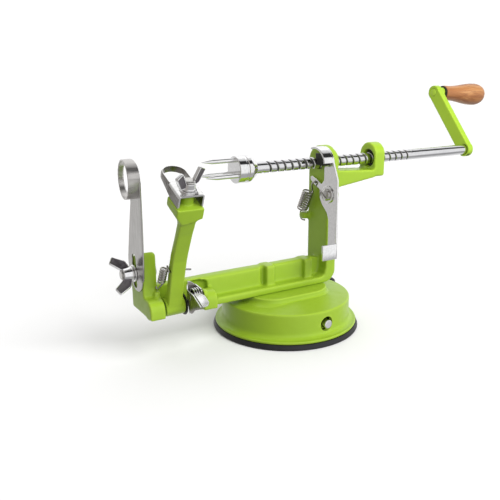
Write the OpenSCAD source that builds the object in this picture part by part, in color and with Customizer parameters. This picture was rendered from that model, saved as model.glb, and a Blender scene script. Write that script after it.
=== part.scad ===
// Hand-cranked peeler, corer and slicer on a suction base.
// X runs along the feed screw towards the crank, Y goes to the rear, Z is up.
// The origin is the centre of the suction pad, on the table top.

/* [Suction base] */
// Radius of the base rim
rim_r = 50; // [48:0.5:56]
// Radius of the upright wall of the base
wall_r = 45; // [43:0.5:46]
// Height of the table-side rubber pad
pad_h = 3.4; // [2.8:0.1:4]
// Height of the seat that carries the frame
seat_z = 27.7; // [26.7:0.1:29]
// Turn of the cam shaft about the vertical, in degrees
base_turn = 4.2; // [0:0.1:8]
// Height of the cam shaft
cam_z = 13; // [12:0.1:13.5]

/* [Frame] */
// Width of the beam flange and of the upright
frame_w = 23.6; // [20:0.2:26]
// Thickness of the beam flange
flange_t = 4.8; // [4:0.1:6]
// Thickness of the upright
upright_t = 8.2; // [7:0.1:9]
// Position of the upright face that carries the release lever
upright_x = 27; // [26:0.5:29]
// Top of the beam web
web_top = 45.7; // [44:0.1:47]
// Face of the post that carries the slicer blade
post_x = -107.2; // [-109:0.1:-106]
// Top of the blade post
post_top = 68; // [66:0.5:72]

/* [Feed screw] */
// Height of the feed screw axis
shaft_z = 112.3; // [111:0.1:113]
// Radius of the screw over its crests
shaft_r = 4; // [3.8:0.05:4.1]
// Pitch of the thread
pitch = 5.78; // [5:0.02:6.5]
// Depth of the thread groove
groove_d = 0.75; // [0.5:0.05:1]

/* [Crank] */
// Throw of the crank, from the screw axis to the handle axis
crank_throw = 57.3; // [50:0.1:64]
// Angle of the crank above the rear horizontal, in degrees
crank_angle = 50.6; // [45:0.1:60]
// Length of the wooden handle
handle_len = 46.8; // [44:0.2:54]
// Droop of the handle, in degrees
handle_tilt = 2.8; // [0:0.2:4]

/* [Peeling arm] */
// Outward lean of the peeling arm, in degrees
arm_lean = 24; // [22:0.5:26]
// Height of the arm head above its pivot
head_z = 75; // [72:0.5:78]

/* [Coring ring] */
// Outer radius of the coring ring
ring_r = 11.8; // [11:0.1:12.5]
// Thickness of the ring and slicer steel
blade_t = 1; // [0.8:0.1:1.2]

/* [Hidden] */
$fn = 64;
run = 0.05;                    // radial running clearance of pins and shafts
hw = frame_w / 2;
ux1 = upright_x + upright_t;
piv = [-10.5, 33];             // peeling arm pivot, Y and Z
pin_r = 2.5;                   // arm pivot pin
lev = [-14, 92];               // release lever pivot, Y and Z
lev_r = 3;                     // release lever screw shoulder
bolt = [5.5, 53];              // slicer blade bolt, Y and Z
bolt_r = 3;
stud = [-91, 3.5];             // peeler blade stud, X and arm-frame Y
stud_r = 2.5;
cam_r = 3;                     // cam shaft
hpin_r = 3;                    // handle pin
lpin = [-18.9, 40];            // thumb latch pivot, Y and Z
lpin_r = 1.9;
base_screws = [-20, 20];       // screws that hold the frame on the base
crank_x = 171.6;               // table-side face of the crank arm
hnd = [crank_throw * cos(crank_angle), shaft_z + crank_throw * sin(crank_angle)];
rear_x0 = 71;
rear_x1 = 80.2;
rear_hole = 6.25;
lime = [0.62, 0.74, 0.16];
steel = [0.80, 0.80, 0.82];
black = [0.07, 0.07, 0.08];
wood = [0.66, 0.43, 0.22];

// ---------- helpers ----------
// rounded rectangle from corner a to corner b
module rrect(a, b, r) {
  translate([a.x + r, a.y]) square([b.x - a.x - 2 * r, b.y - a.y]);
  translate([a.x, a.y + r]) square([b.x - a.x, b.y - a.y - 2 * r]);
  for (x = [a.x + r, b.x - r], y = [a.y + r, b.y - r]) translate([x, y]) circle(r);
}
// straight bar with round ends from p to q, width w
module bar(p, q, w) {
  d = q - p;
  translate(p) circle(w / 2 + 0.02);
  translate(q) circle(w / 2 + 0.02);
  translate(p) rotate(atan2(d.y, d.x)) translate([0, -w / 2]) square([norm(d), w]);
}
// extrude an XZ outline along Y, from y0 to y1
module xz(y0, y1) translate([0, y1, 0]) rotate([90, 0, 0]) linear_extrude(y1 - y0) children();
// extrude a YZ outline along X, from x0 to x1
module yz(x0, x1) translate([x0, 0, 0]) rotate([90, 0, 90]) linear_extrude(x1 - x0) children();
// cylinder along X from x0 to x1, on the axis c = [y, z]
module xcyl(x0, x1, r, c) translate([x0, c.x, c.y]) rotate([0, 90, 0]) cylinder(r = r, h = x1 - x0);
module xcone(x0, x1, r0, r1, c) translate([x0, c.x, c.y]) rotate([0, 90, 0]) cylinder(r1 = r0, r2 = r1, h = x1 - x0);
// place the arm's own frame, whose origin is on the pivot
module at_arm() translate([0, piv.x, piv.y]) rotate([arm_lean, 0, 0]) children();
// place the cam shaft's own frame, whose Y axis is the shaft
module at_cam() rotate([0, 0, base_turn]) translate([0, 0, cam_z]) children();

function unit(v) = v / norm(v);
// closed tube along a list of points, with a reference direction for its sides
function ring_at(pts, i, r, n, up) =
  let (a = pts[max(i - 1, 0)], b = pts[min(i + 1, len(pts) - 1)], t = unit(b - a),
       u = unit(cross(t, up)), v = cross(u, t))
  [for (k = [0:n - 1]) pts[i] + r * (u * cos(360 * k / n) + v * sin(360 * k / n))];
module tube(pts, r, n, up) {
  m = len(pts);
  polyhedron(
    points = [for (i = [0:m - 1]) each ring_at(pts, i, r, n, up)],
    faces = concat(
      [[for (k = [0:n - 1]) k]],
      [[for (k = [0:n - 1]) (m - 1) * n + n - 1 - k]],
      [for (i = [0:m - 2], k = [0:n - 1])
        let (a = i * n + k, b = i * n + (k + 1) % n) each [[a, a + n, b], [b, a + n, b + n]]]));
}
// points of a coil between p and q with hooks left to the caller; e1 and e2 span its section
function coil(p, q, r, turns, per, e1, e2, a0 = 0) =
  [for (i = [0:turns * per]) let (t = i / (turns * per), a = a0 + 360 * turns * t)
    p + (q - p) * t + r * (e1 * cos(a) + e2 * sin(a))];
// points of a circular arc of radius r about c
function arc3(c, r, a0, a1, n, e1, e2) =
  [for (i = [0:n]) let (a = a0 + (a1 - a0) * i / n) c + r * (e1 * cos(a) + e2 * sin(a))];

// ---------- suction base ----------
module base_housing() color(lime) difference() {
  union() {
    rotate_extrude($fn = 128) {
      translate([0, pad_h]) square([rim_r - 1, 2]);
      translate([rim_r - 1, pad_h + 1]) circle(1);
      translate([0, pad_h + 1]) square([wall_r, 16 - pad_h]);
      difference() {
        translate([wall_r - 1, pad_h + 2]) square([4.5, 3.5]);
        translate([wall_r + 3.5, pad_h + 5.5]) circle(3.5);
      }
      translate([0, 16.5]) square([wall_r, 1.5]);
      translate([wall_r - 4, 18]) circle(4);
      translate([0, 17.9]) square([wall_r - 4, 4.1]);
      polygon([[0, 21.9], [wall_r - 4, 21.99], [28, 24], [0, 24]]);
    }
    // seat under the beam
    translate([0, 0, 23.5]) linear_extrude(seat_z - 23.5) rrect([-33, -23.5], [27, 23.5], 17);
    // low boss round the rear end of the cam shaft
    at_cam() rotate([-90, 0, 0]) cylinder(r = 6.4, h = wall_r + 0.6);
  }
  // hollow inside, round a block that carries the front of the cam shaft
  difference() {
    union() {
      translate([0, 0, -1]) cylinder(r = wall_r - 3, h = 19.2);
      translate([0, 0, 18]) cylinder(r = wall_r - 9, h = 3.2);
      translate([0, 0, 18]) cylinder(r = 14, h = 6.8);
    }
    at_cam() translate([-6.5, -38, -7]) cube([13, 7, 20]);
  }
  // access hole in front, shaft bearing behind
  at_cam() rotate([90, 0, 0]) translate([0, 0, 40]) cylinder(r = 5, h = 20);
  at_cam() rotate([90, 0, 0]) cylinder(r = cam_r + run, h = 41);
  at_cam() rotate([-90, 0, 0]) cylinder(r = cam_r + run, h = 60);
  // clearance for the two frame screws
  for (x = base_screws) translate([x, 0, 18]) cylinder(r = 2.6, h = 20);
}

module suction_pad() color(black) rotate_extrude($fn = 128) {
  square([wall_r, 2]);
  translate([wall_r - 2, 0]) square([rim_r - wall_r + 2.5, pad_h]);
  polygon([[rim_r, 0], [rim_r + 1.5, 0], [rim_r + 1.5, 1], [rim_r + 0.5, pad_h], [rim_r, pad_h]]);
}

module suction_plunger() color(steel) difference() {
  union() {
    translate([0, 0, 2.4]) cylinder(r = 14, h = 1.8);
    at_cam() xz(-4, 4) rrect([-11.2, cam_z < 12.5 ? -8.6 : -9.2], [11.2, 8.6], 2);
  }
  at_cam() xz(-5, 5) rrect([-9.3, -7.2], [9.3, 7.1], 1.5);
}

module cam_shaft() color(steel) at_cam() {
  rotate([-90, 0, 0]) translate([0, 0, -46.8]) cylinder(r = cam_r, h = 46.8 + 56.6);
}

module suction_cam() color(steel) at_cam() difference() {
  translate([2.5, 0, 0]) rotate([90, 0, 0]) cylinder(r = 6, h = 7, center = true);
  rotate([90, 0, 0]) cylinder(r = cam_r, h = 9, center = true);
}

// bent side lever on the rear end of the cam shaft
lev_a = [71.4, -22.6, -5.6];    // free end in the cam frame, measured from the hub at the shaft's end
lev_h = 53.5;                   // distance of the lever hub along the shaft
module suction_lever() color(steel) at_cam() {
  difference() {
    rotate([-90, 0, 0]) translate([0, 0, 48.6]) cylinder(r = 5.5, h = 9);
    rotate([-90, 0, 0]) translate([0, 0, 46]) cylinder(r = cam_r, h = 14);
  }
  difference() {
    hull() {
      translate([0, lev_h, 0]) sphere(r = 2.6, $fn = 32);
      translate([0, lev_h, 0] + lev_a * 0.62) sphere(r = 2.6, $fn = 32);
    }
    rotate([-90, 0, 0]) translate([0, 0, 40]) cylinder(r = 5, h = 20);
  }
}

module lever_grip() color(black) at_cam() difference() {
  hull() {
    translate([0, lev_h, 0] + lev_a * 0.46) sphere(r = 3.4, $fn = 32);
    translate([0, lev_h, 0] + lev_a) sphere(r = 3.8, $fn = 32);
  }
  hull() {
    translate([0, lev_h, 0]) sphere(r = 2.6, $fn = 32);
    translate([0, lev_h, 0] + lev_a * 0.62) sphere(r = 2.6, $fn = 32);
  }
}

module frame_screws() color(steel) for (x = base_screws) {
  translate([x, 0, 18.2]) cylinder(r = 4.4, h = 2.98);
  translate([x, 0, 21]) cylinder(r = 2.5, h = 15);
}

// ---------- frame ----------
module upright_outline() {
  // lower part, pivot lug and bearing boss of the upright, in YZ
  polygon([[-hw, 34], [hw, 34], [hw, 104], [hw - 0.6, shaft_z], [-hw, shaft_z],
           [-13, 100], [-13, 86], [-hw, 76]]);
  translate([0, shaft_z]) circle(hw);
}
module frame() color(lime) difference() {
  union() {
    // beam flange, curving up into the upright
    xz(-hw, hw) {
      translate([-72, seat_z]) square([ux1 - 9 + 72, flange_t]);
      intersection() {
        translate([ux1 - 9, seat_z + 9]) circle(9);
        translate([ux1 - 9, seat_z]) square([9, 9]);
      }
      translate([upright_x, seat_z + 8.9]) square([upright_t, 8]);
      difference() {
        translate([upright_x - 5, seat_z + flange_t - 0.1]) square([5.5, 5.5]);
        translate([upright_x - 5, seat_z + flange_t + 5]) circle(5);
      }
    }
    yz(upright_x, ux1) upright_outline();
    // boss for the release lever's screw
    xcone(upright_x, upright_x + 4.5, 7, 4.5, lev);
    // longer bearing boss behind the upright
    xcyl(upright_x + 1, ux1 + 3, 9.5, [0, shaft_z]);
    // web with a thicker left panel and two pairs of ribs
    xz(-3, 3) polygon([[-74, 30], [upright_x + 1, 30], [upright_x + 1, web_top - 1.2], [20, web_top], [-74, web_top]]);
    xz(-5, 5) polygon([[-60, 31], [-23, 31], [-23, web_top - 0.8], [-68, web_top - 0.8], [-68, 40]]);
    xz(-4.2, 4.2) polygon([[-12, 31], [11, 31], [11, web_top - 0.8], [-12, web_top - 0.8]]);
    for (x = [-20.2, 11.2]) yz(x, x + 6.4) polygon([[-8.4, 31], [8.4, 31], [8.4, web_top - 3.2], [3.4, web_top - 0.1], [3, web_top + 0.7], [-7.6, web_top + 0.7], [-8.4, web_top - 0.1]]);
    // saddle behind the arm pivot, and the blade post
    xz(-3.4, 3) polygon([[-107, seat_z], [-66, seat_z], [-66, web_top], [-100, web_top], [-107, 44]]);
    xz(-3.4, 9) polygon([[-107, seat_z], [-66, seat_z], [-66, 38], [-70, 42], [-100, 42], [-107, 40]]);
    xz(-5.6, 16.4) {
      translate([post_x, seat_z]) square([9.2, post_top - seat_z - 3]);
      translate([post_x, seat_z]) square([6.2, post_top - seat_z]);
      translate([post_x + 6.2, post_top - 3]) circle(3);
    }
    // lugs that hold the arm pivot pin
    for (s = [[post_x, -97.4], [-71.6, -62]]) yz(s[0], s[1]) {
      translate(piv) circle(6.3);
      polygon([[piv.x - 6.3, seat_z], [0, seat_z], [0, 39.3], [piv.x, 39.3], [piv.x - 6.3, 33]]);
    }
    // ear that carries the latch's pin, on a foot between the lug and the saddle
    yz(-74.2, -71) bar(lpin, [-10, 36], 6.6);
    yz(-74.2, -66) polygon([[-12.4, 31.5], [-3, 31], [-3, 37.6], [-12.4, 37.6]]);
    // peg for the release spring on the rear edge, hook for the arm spring
    yz(22, upright_x + 4) rrect([9, 70.6], [16.4, 75.4], 2);
    xz(-9, -3) rrect([-101, 38], [-97.2, 43.6], 1.5);
    // arm to the rear bearing
    xz(-8.75, 8.75) polygon([[ux1 - 2, 94], [rear_x0 + 1, 99.2], [rear_x0 + 1, 104.6], [ux1 + 6, 106.4], [ux1 - 2, 107]]);
    yz(rear_x0, rear_x1) {
      rrect([-8.75, 99.6], [8.75, 118], 1.2);
      translate([0, 115]) circle(8.75);
    }
  }
  // screw clearance in the upright and the wide rear bearing
  xcyl(20, 44, shaft_r + 0.4, [0, shaft_z]);
  xcyl(64, 90, rear_hole, [0, shaft_z]);
  // lever screw, pivot pin, blade bolt and base screws
  xcyl(upright_x - 1, upright_x + 4, lev_r, lev);
  xcyl(post_x + 2, -60, pin_r, piv);
  xcyl(post_x - 1, -90, bolt_r, bolt);
  xcyl(-75, -71.6, lpin_r, lpin);
  for (x = base_screws) translate([x, 0, seat_z - 1]) cylinder(r = 2.5, h = 9.6);
  // the post's top falls away to the rear
  yz(post_x - 1, -97) polygon([[-5.4, post_top + 0.2], [18, post_top + 0.2], [18, post_top - 7.6]]);
  // pocket behind the latch
  xz(-6, -1.4) rrect([-76, 36], [-63.6, 44.2], 3);
  // groove that seats the arm spring's lower loop
  xcyl(-99.9, -98.3, 1.2, [-7.4, 43.6]);
  // notch that keeps the release spring's loop on its peg
  yz(23.4, 25) translate([15.4, 69.4]) square([3, 7]);
}

module shaft_sleeve() color(black) difference() {
  xcyl(rear_x0 + 1.4, rear_x1 - 1.4, rear_hole - run, [0, shaft_z]);
  xcyl(rear_x0, rear_x1, shaft_r + run, [0, shaft_z]);
}

// ---------- release lever ----------
hood_c = [-7, 112.3];
hood_r = 11.9;
ear = [0.4, 98.6];              // hole for the spring's hook
module lever_outline() {
  translate(lev) circle(10);
  polygon([[-24, 49], [-15.2, 49], [-15, 74], [-13.2, 79], [-7, 84], [-24, 86]]);
  polygon([[-24, 84], [-6, 86], [-4.6, 96], [-9.2, 100.6], [-9.2, 107], [-12, 117], [-18.6, 114.4], [-23.4, 104]]);
  // rounded top under the hood, cut back round the screw
  intersection() {
    translate(hood_c) circle(hood_r);
    polygon([[-30, 110], [-9.2, 107], [-9.2, 117.6], [-2.4, 119], [-2.4, 130], [-30, 130]]);
  }
  // ear for the spring
  bar([-8, 94.8], ear, 4.4);
  bar(ear, [5.4, 101], 2.8);
}
module release_lever() color(steel) difference() {
  union() {
    yz(25.1, 26.6) difference() {
      lever_outline();
      translate(ear) circle(1.1);
    }
    // curved hood over the screw
    yz(18, 26.6) intersection() {
      difference() {
        translate(hood_c) circle(hood_r);
        translate(hood_c) circle(hood_r - 1.4);
      }
      polygon([hood_c, hood_c + 40 * [cos(67), sin(67)], hood_c + [-10, 50], hood_c + 40 * [cos(140), sin(140)], hood_c + 40 * [cos(171), sin(171)]]);
    }
    // thumb tab
    xz(-25.2, -23.7) rrect([13.4, 48.8], [26.6, 59.8], 1.2);
  }
  xcyl(20, 30, lev_r + run, lev);
}
module half_nut() color(steel) difference() {
  yz(22.4, 25.1) polygon([[-12, 111.4], [-2.6, 111.4], [-2.6, 119.2], [-12, 119.2]]);
  xcyl(10, 40, shaft_r + 0.3, [0, shaft_z]);
}
module lever_screw() color(steel) difference() {
  union() {
    xcyl(23.8, upright_x + 4, lev_r, lev);
    xcone(21.4, 23.9, 3.6, 5, lev);
  }
  translate([20.6, lev.x - 6, lev.y - 0.6]) cube([1.9, 12, 1.2]);
}
module lever_washer() color(steel) difference() {
  xcyl(23.9, 24.9, 6.6, lev);
  xcyl(23, 26, lev_r + run, lev);
}
// extension spring between the lever's ear and the peg
rs_p = [21.5, 3.9, 92.2];
rs_q = [21.5, 11.2, 78];
module release_spring() color(steel) {
  d = unit(rs_q - rs_p);
  e1 = [1, 0, 0];
  e2 = cross(d, e1);
  c = coil(rs_p, rs_q, 3.5, 8, 14, e1, e2);
  top = [rs_p + e1 * 3 - d * 1.6, rs_p - d * 4 + e1 * 1.8, [22.8, 1.2, 97.6], [23.6, 0.6, 98.5], [24.8, 0.4, 98.7], [26.1, 0.4, 98.6]];
  bot = [rs_q + e1 * 3 + d * 0.9, [24.3, 13.8, 76.9], [24.2, 15.5, 76.1], [24.2, 16.2, 74.6], [24.2, 16.2, 71.6], [24.2, 15.3, 70.1], [24.2, 13.6, 69.8], [24.2, 11.5, 69.8]];
  tube(concat([for (i = [0:len(top) - 1]) top[len(top) - 1 - i]], c, bot), 0.55, 6, [0.31, 0.17, 0.93]);
}

// ---------- feed screw and fork ----------
groove_x0 = -20.4;
module feed_screw() color(steel) difference() {
  union() {
    xcyl(-27, crank_x + 4, shaft_r, [0, shaft_z]);
    xcyl(crank_x + 3, crank_x + 5.4, 2.6, [0, shaft_z]);
  }
  translate([0, 0, shaft_z]) helix_groove();
}
module helix_groove() {
  n = 23 * 16;
  a0 = 171;
  pts = [for (i = [0:n]) let (a = a0 + 360 * i / 16, x = groove_x0 + pitch * i / 16)
    each [[x - 0.95, 5 * cos(a), 5 * sin(a)], [x - 0.5, (shaft_r - groove_d) * cos(a), (shaft_r - groove_d) * sin(a)],
          [x + 0.5, (shaft_r - groove_d) * cos(a), (shaft_r - groove_d) * sin(a)], [x + 0.95, 5 * cos(a), 5 * sin(a)]]];
  polyhedron(points = pts, faces = concat([[0, 1, 2, 3]], [[4 * n + 3, 4 * n + 2, 4 * n + 1, 4 * n]],
    [for (i = [0:n - 1], k = [0:3]) let (a = 4 * i + k, b = 4 * i + (k + 1) % 4) each [[a, a + 4, b], [b, a + 4, b + 4]]]));
}
module fork_hub() color(steel) difference() {
  union() {
    xcyl(-40, -30, 9, [0, shaft_z]);
    xcone(-30, -25.6, 9, 6, [0, shaft_z]);
  }
  xcyl(-27, -20, shaft_r, [0, shaft_z]);
  for (a = [90, 210, 330]) translate([0, 0, shaft_z]) rotate([a, 0, 0]) translate([0, 6.2, 0]) xcyl(-41, -34, 1.6, [0, 0]);
}
module fork_tines() color(steel) for (a = [90, 210, 330])
  translate([0, 0, shaft_z]) rotate([a, 0, 0]) translate([0, 6.2, 0]) {
    xcyl(-56, -34, 1.6, [0, 0]);
    xcone(-63, -56, 0.3, 1.6, [0, 0]);
  }

// ---------- crank ----------
crank_t = 5.4;
crank_w = 10.8;
boss_l = 9.8;                  // handle side of the boss, from the arm's face
// place the handle's own frame, whose X axis is the handle pin
module at_hnd() translate([crank_x, hnd.x, hnd.y]) rotate([0, handle_tilt, 0]) children();
module crank_arm() color(lime) difference() {
  union() {
    yz(crank_x, crank_x + crank_t) {
      // straight bar between two eyes that stand slightly proud of its sides
      translate([0, shaft_z]) rotate(crank_angle) translate([0, -crank_w / 2]) square([crank_throw, crank_w]);
      translate([0, shaft_z]) circle(crank_w / 2 + 0.25);
      translate(hnd) circle(crank_w / 2 + 0.25);
    }
    at_hnd() xcyl(3, boss_l, crank_w / 2 - 0.9, [0, 0]);
  }
  xcyl(crank_x - 5, crank_x + 4, shaft_r, [0, shaft_z]);
  xcyl(crank_x + 3, crank_x + 12, 2.6, [0, shaft_z]);
  at_hnd() xcyl(-2, boss_l + 1, hpin_r, [0, 0]);
  // tapped hole in the lower end
  translate([crank_x + 2, 0, shaft_z]) rotate([crank_angle + 90, 0, 0]) translate([0, 0, shaft_r - 0.5]) cylinder(r = 1.5, h = 6);
}
module crank_set_screw() color(steel) translate([crank_x + 2, 0, shaft_z]) rotate([crank_angle + 90, 0, 0]) difference() {
  translate([0, 0, shaft_r]) cylinder(r = 1.5, h = 1.2);
  translate([0, 0, shaft_r + 0.7]) cylinder(r = 0.8, h = 3, $fn = 6);
}
module handle_pin() color(steel) at_hnd() {
  xcyl(-0.4, boss_l + handle_len - 2, hpin_r, [0, 0]);
  xcyl(boss_l + handle_len - 4, boss_l + handle_len - 2, 4.2, [0, 0]);
}
module handle_washer() color([0.30, 0.31, 0.14]) at_hnd() difference() {
  xcyl(boss_l, boss_l + 1, 5.7, [0, 0]);
  xcyl(boss_l - 1, boss_l + 2, hpin_r, [0, 0]);
}
module handle() color(wood) at_hnd() translate([boss_l + 1.4, 0, 0]) rotate([0, 90, 0]) difference() {
  rotate_extrude($fn = 96) difference() {
    union() {
      polygon([[0, 0], [5.6, 0], [6, 0.5], [6, 6], [0, 6]]);
      polygon(concat([[0, 5.9]], [for (i = [0:14]) let (t = i / 14) [6 + 3.05 * (0.5 - 0.5 * cos(180 * t)), 5.9 + 30.6 * t]], [[0, 36.5]]));
      polygon(concat([[0, 36.4]], [for (i = [0:14]) let (a = 90 * i / 14) [9.05 * pow(cos(a), 0.55), 36.4 + (handle_len - 36.4) * sin(a)]]));
    }
    translate([-1, -1]) square([hpin_r + run + 1, 80]);
  }
  translate([0, 0, handle_len - 6]) cylinder(r = 4.7, h = 12);
}

// ---------- peeling arm ----------
module peeling_arm() color(lime) at_arm() difference() {
  union() {
    xcyl(-96.6, -83.6, 5.8, [0, 0]);
    yz(-95.6, -86.4) polygon([[-5.2, 2], [-3.8, 10], [-3.0, 18], [-2.0, 26], [-1.2, 36], [-1.4, 42], [-2.4, 56], [-3.9, 66], [-4.5, 70], [8, 71], [1.9, 63], [2.5, 54], [4.1, 39], [4.0, 29], [2.2, 14], [2.6, 4], [3, -3]]);
    // head with a slanted underside
    xz(-4.5, 11) polygon([[-95.6, 64.6], [-86.4, 66.5], [-84.5, head_z - 7.4], [-82.8, head_z - 7.4], [-82.8, head_z], [-99.2, head_z], [-99.2, head_z - 5]]);
    translate([stud.x, stud.y, head_z - 1]) cylinder(r = 4.2, h = 7.6);
  }
  xcyl(-100, -80, pin_r + run, [0, 0]);
  translate([stud.x, stud.y, head_z - 6]) cylinder(r = stud_r, h = 20);
  // hole for the spring's upper leg
  xcyl(-100, -80, 0.9, [1, 28]);
}
module arm_pivot_pin() color(steel) xcyl(post_x + 2, -61.4, pin_r, piv);

// extension spring beside the arm
as_p = [-98.3, -19.4, 61.2];
as_q = [-98.3, -13.2, 50.4];
module arm_spring() color([0.25, 0.24, 0.22]) {
  d = unit(as_q - as_p);
  e1 = [1, 0, 0];
  e2 = cross(d, e1);
  c = coil(as_p, as_q, 1.75, 9, 12, e1, e2);
  top = [as_p + e1 * 1.3 - d * 1, [-96.9, -20.6, 61], [-96.2, -21.6, 59.4], [-94, -21.1, 58.7], [-88, -21, 58.7], [-82.4, -21, 58.3]];
  bot = [as_q + e1 * 0.9 + d * 1, as_q + d * 3, [-99.1, -9.4, 45.1], [-99.1, -7.9, 44.3], [-99.1, -6.9, 44.5], [-99.1, -6.4, 45.6]];
  tube(concat([for (i = [0:len(top) - 1]) top[len(top) - 1 - i]], c, bot), 0.45, 6, [0.12, 0.21, 0.97]);
}

// thumb latch: a bent sheet with two cheeks, a back wall and a thumb plate
module arm_latch() color(steel) difference() {
  union() {
    yz(-82.9, -81.9) polygon([[-14.2, 43.6], [-24.1, 42.7], [-34.7, 38.3], [-33.6, 36.6], [-26, 33.4], [-21.4, 29.6], [-18.2, 29.2], [-17.4, 33], [-14.2, 37.6]]);
    // the right cheek stands higher
    yz(-76.45, -75.45) polygon([[-14.2, 45.6], [-21.4, 44.9], [-22.6, 43.8], [-22.4, 38], [-20.8, 36.2], [-16.8, 36], [-14.2, 38]]);
    xz(-15.2, -14.2) polygon([[-82.9, 38.2], [-75.45, 38.2], [-75.45, 45.3], [-80.1, 48.5], [-82.2, 48.9], [-82.9, 48.2]]);
    // the thumb plate narrows towards its free end
    intersection() {
      yz(-82.9, -75.45) polygon([[-22.6, 43.3], [-34.7, 38.3], [-34.3, 37.2], [-22.2, 42.2]]);
      translate([0, 0, 20]) linear_extrude(40) polygon([[-84, -36], [-79, -36], [-77.4, -34.4], [-75.6, -31.8], [-75.5, -26], [-77, -23.2], [-80.5, -21.8], [-84, -21.8]]);
    }
  }
  xcyl(-90, -74, lpin_r + run, lpin);
}
module latch_pin() color(steel) {
  xcyl(-83.3, -71.7, lpin_r, lpin);
  xcyl(-83.5, -83, 2.7, lpin);
}
// torsion spring on the latch's pin, one leg under the thumb plate
module latch_spring() color([0.45, 0.44, 0.42]) {
  n = 4 * 14;
  c = [for (i = [0:n]) let (t = i / n, a = -90 + 360 * 4 * t) [-81.3 + 4.25 * t, lpin.x + 2.85 * cos(a), lpin.y + 2.85 * sin(a)]];
  tube(concat([[-80.4, -28, 38.9], [-80.9, -23, 37.5]], c, [[-77.05, -15.4, 37], [-77.05, -12.8, 36.7]]), 0.5, 6, [0.97, 0.2, 0.1]);
}

// ---------- peeler blade ----------
module peeler_blade() color(steel) at_arm() difference() {
  union() {
    // channel that straddles the head
    translate([0, 0, head_z + 7]) linear_extrude(1) translate([-98.7, -2.5]) square([15.4, 16.5]);
    for (x = [-98.7, -84.3]) yz(x, x + 1) polygon([[-2.5, head_z + 0.2], [8, head_z + 0.2], [22.4, head_z + 4], [22.4, head_z + 8], [-2.5, head_z + 8]]);
    // horseshoe cutting loop
    translate([-91, 22.3, head_z + 4]) linear_extrude(4) difference() {
      circle(7.7);
      circle(6.7);
      translate([-10, -10]) square([20, 10]);
    }
  }
  translate([stud.x, stud.y, head_z]) cylinder(r = stud_r + 0.2, h = 20);
}
module peeler_stud() color(steel) at_arm() translate([stud.x, stud.y, head_z - 6]) cylinder(r = stud_r, h = 22.4);
module peeler_washer() color(steel) at_arm() translate([stud.x, stud.y, head_z + 8]) difference() {
  cylinder(r = 5, h = 0.8);
  translate([0, 0, -1]) cylinder(r = stud_r + run, h = 3);
}
// wing nut along +Z, its seat at z = 0
module wing_nut(bore, hub, h, span, tip) difference() {
  union() {
    cylinder(r1 = hub, r2 = hub * 0.84, h = h);
    for (s = [0, 180]) rotate([0, 0, s]) rotate([90, 0, 0]) translate([0, 0, -1.1]) linear_extrude(2.2)
      polygon([[hub * 0.5, h * 0.2], [hub * 0.97, h * 0.2], [span - 4.4, tip - 10.4], [span - 3.5, tip - 9.3], [span - 0.2, tip - 3.2],
               [span - 0.5, tip - 2.3], [span - 4, tip - 0.3], [span - 4.9, tip - 0.4], [hub * 0.5, h * 0.9]]);
  }
  translate([0, 0, -1]) cylinder(r = bore + run, h = tip + 9);
}
module peeler_wing_nut() color(steel) at_arm() translate([stud.x, stud.y, head_z + 8.9]) rotate([0, 0, 24]) wing_nut(stud_r, 4.2, 6.2, 11.6, 12);

// ---------- slicer and coring ring ----------
bx = post_x - blade_t;
module slicer_blade() color(steel) yz(bx, post_x - 0.02) difference() {
  union() {
    polygon([[-12.2, 101.6], [-11.4, 80], [-10.2, 60], [-9, 52], [-6, 46], [-1, 42.4], [5, 41.6], [11, 44.6], [15, 50],
             [16.4, 60], [11.4, 79], [5.8, 97], [4.6, 103]]);
  }
  translate([0, shaft_z]) circle(ring_r);
  bar([bolt.x, 46.6], [bolt.x, 62], 6.6);
}
module coring_ring() color(steel) intersection() {
  difference() {
    xcyl(-116, bx + blade_t, ring_r, [0, shaft_z]);
    xcyl(-118, -100, ring_r - blade_t, [0, shaft_z]);
  }
  // the strip is wider in front than behind
  translate([0, 0, shaft_z - 20]) linear_extrude(40) polygon([[-114.7, -13], [-107.22, -13], [-107.22, -8], [-109.3, 13], [-112.8, 13]]);
}
module blade_bolt() color(steel) {
  xcyl(-117.2, -97.9, bolt_r, bolt);
  xcyl(-98, -94.6, 5.4, bolt);
}
module blade_washer() color(steel) difference() {
  xcyl(bx - 1.2, bx - 0.02, 6.2, bolt);
  xcyl(bx - 3, bx + 3, bolt_r + run, bolt);
}
module blade_wing_nut() color(steel) translate([bx - 1.3, bolt.x, bolt.y]) rotate([54, 0, 0]) rotate([0, -90, 0]) rotate([0, 0, 90]) wing_nut(bolt_r, 5.2, 7, 12.9, 13.4);

base_housing();
suction_pad();
suction_plunger();
cam_shaft();
suction_cam();
suction_lever();
lever_grip();
frame_screws();
frame();
shaft_sleeve();
release_lever();
half_nut();
lever_screw();
lever_washer();
release_spring();
feed_screw();
fork_hub();
fork_tines();
crank_arm();
crank_set_screw();
handle_pin();
handle_washer();
handle();
peeling_arm();
arm_pivot_pin();
arm_spring();
arm_latch();
latch_pin();
latch_spring();
peeler_blade();
peeler_stud();
peeler_washer();
peeler_wing_nut();
slicer_blade();
coring_ring();
blade_bolt();
blade_washer();
blade_wing_nut();
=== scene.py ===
import math

import bmesh
import bpy
import numpy as np
from mathutils import Matrix, Vector
from mathutils.geometry import delaunay_2d_cdt


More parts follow.
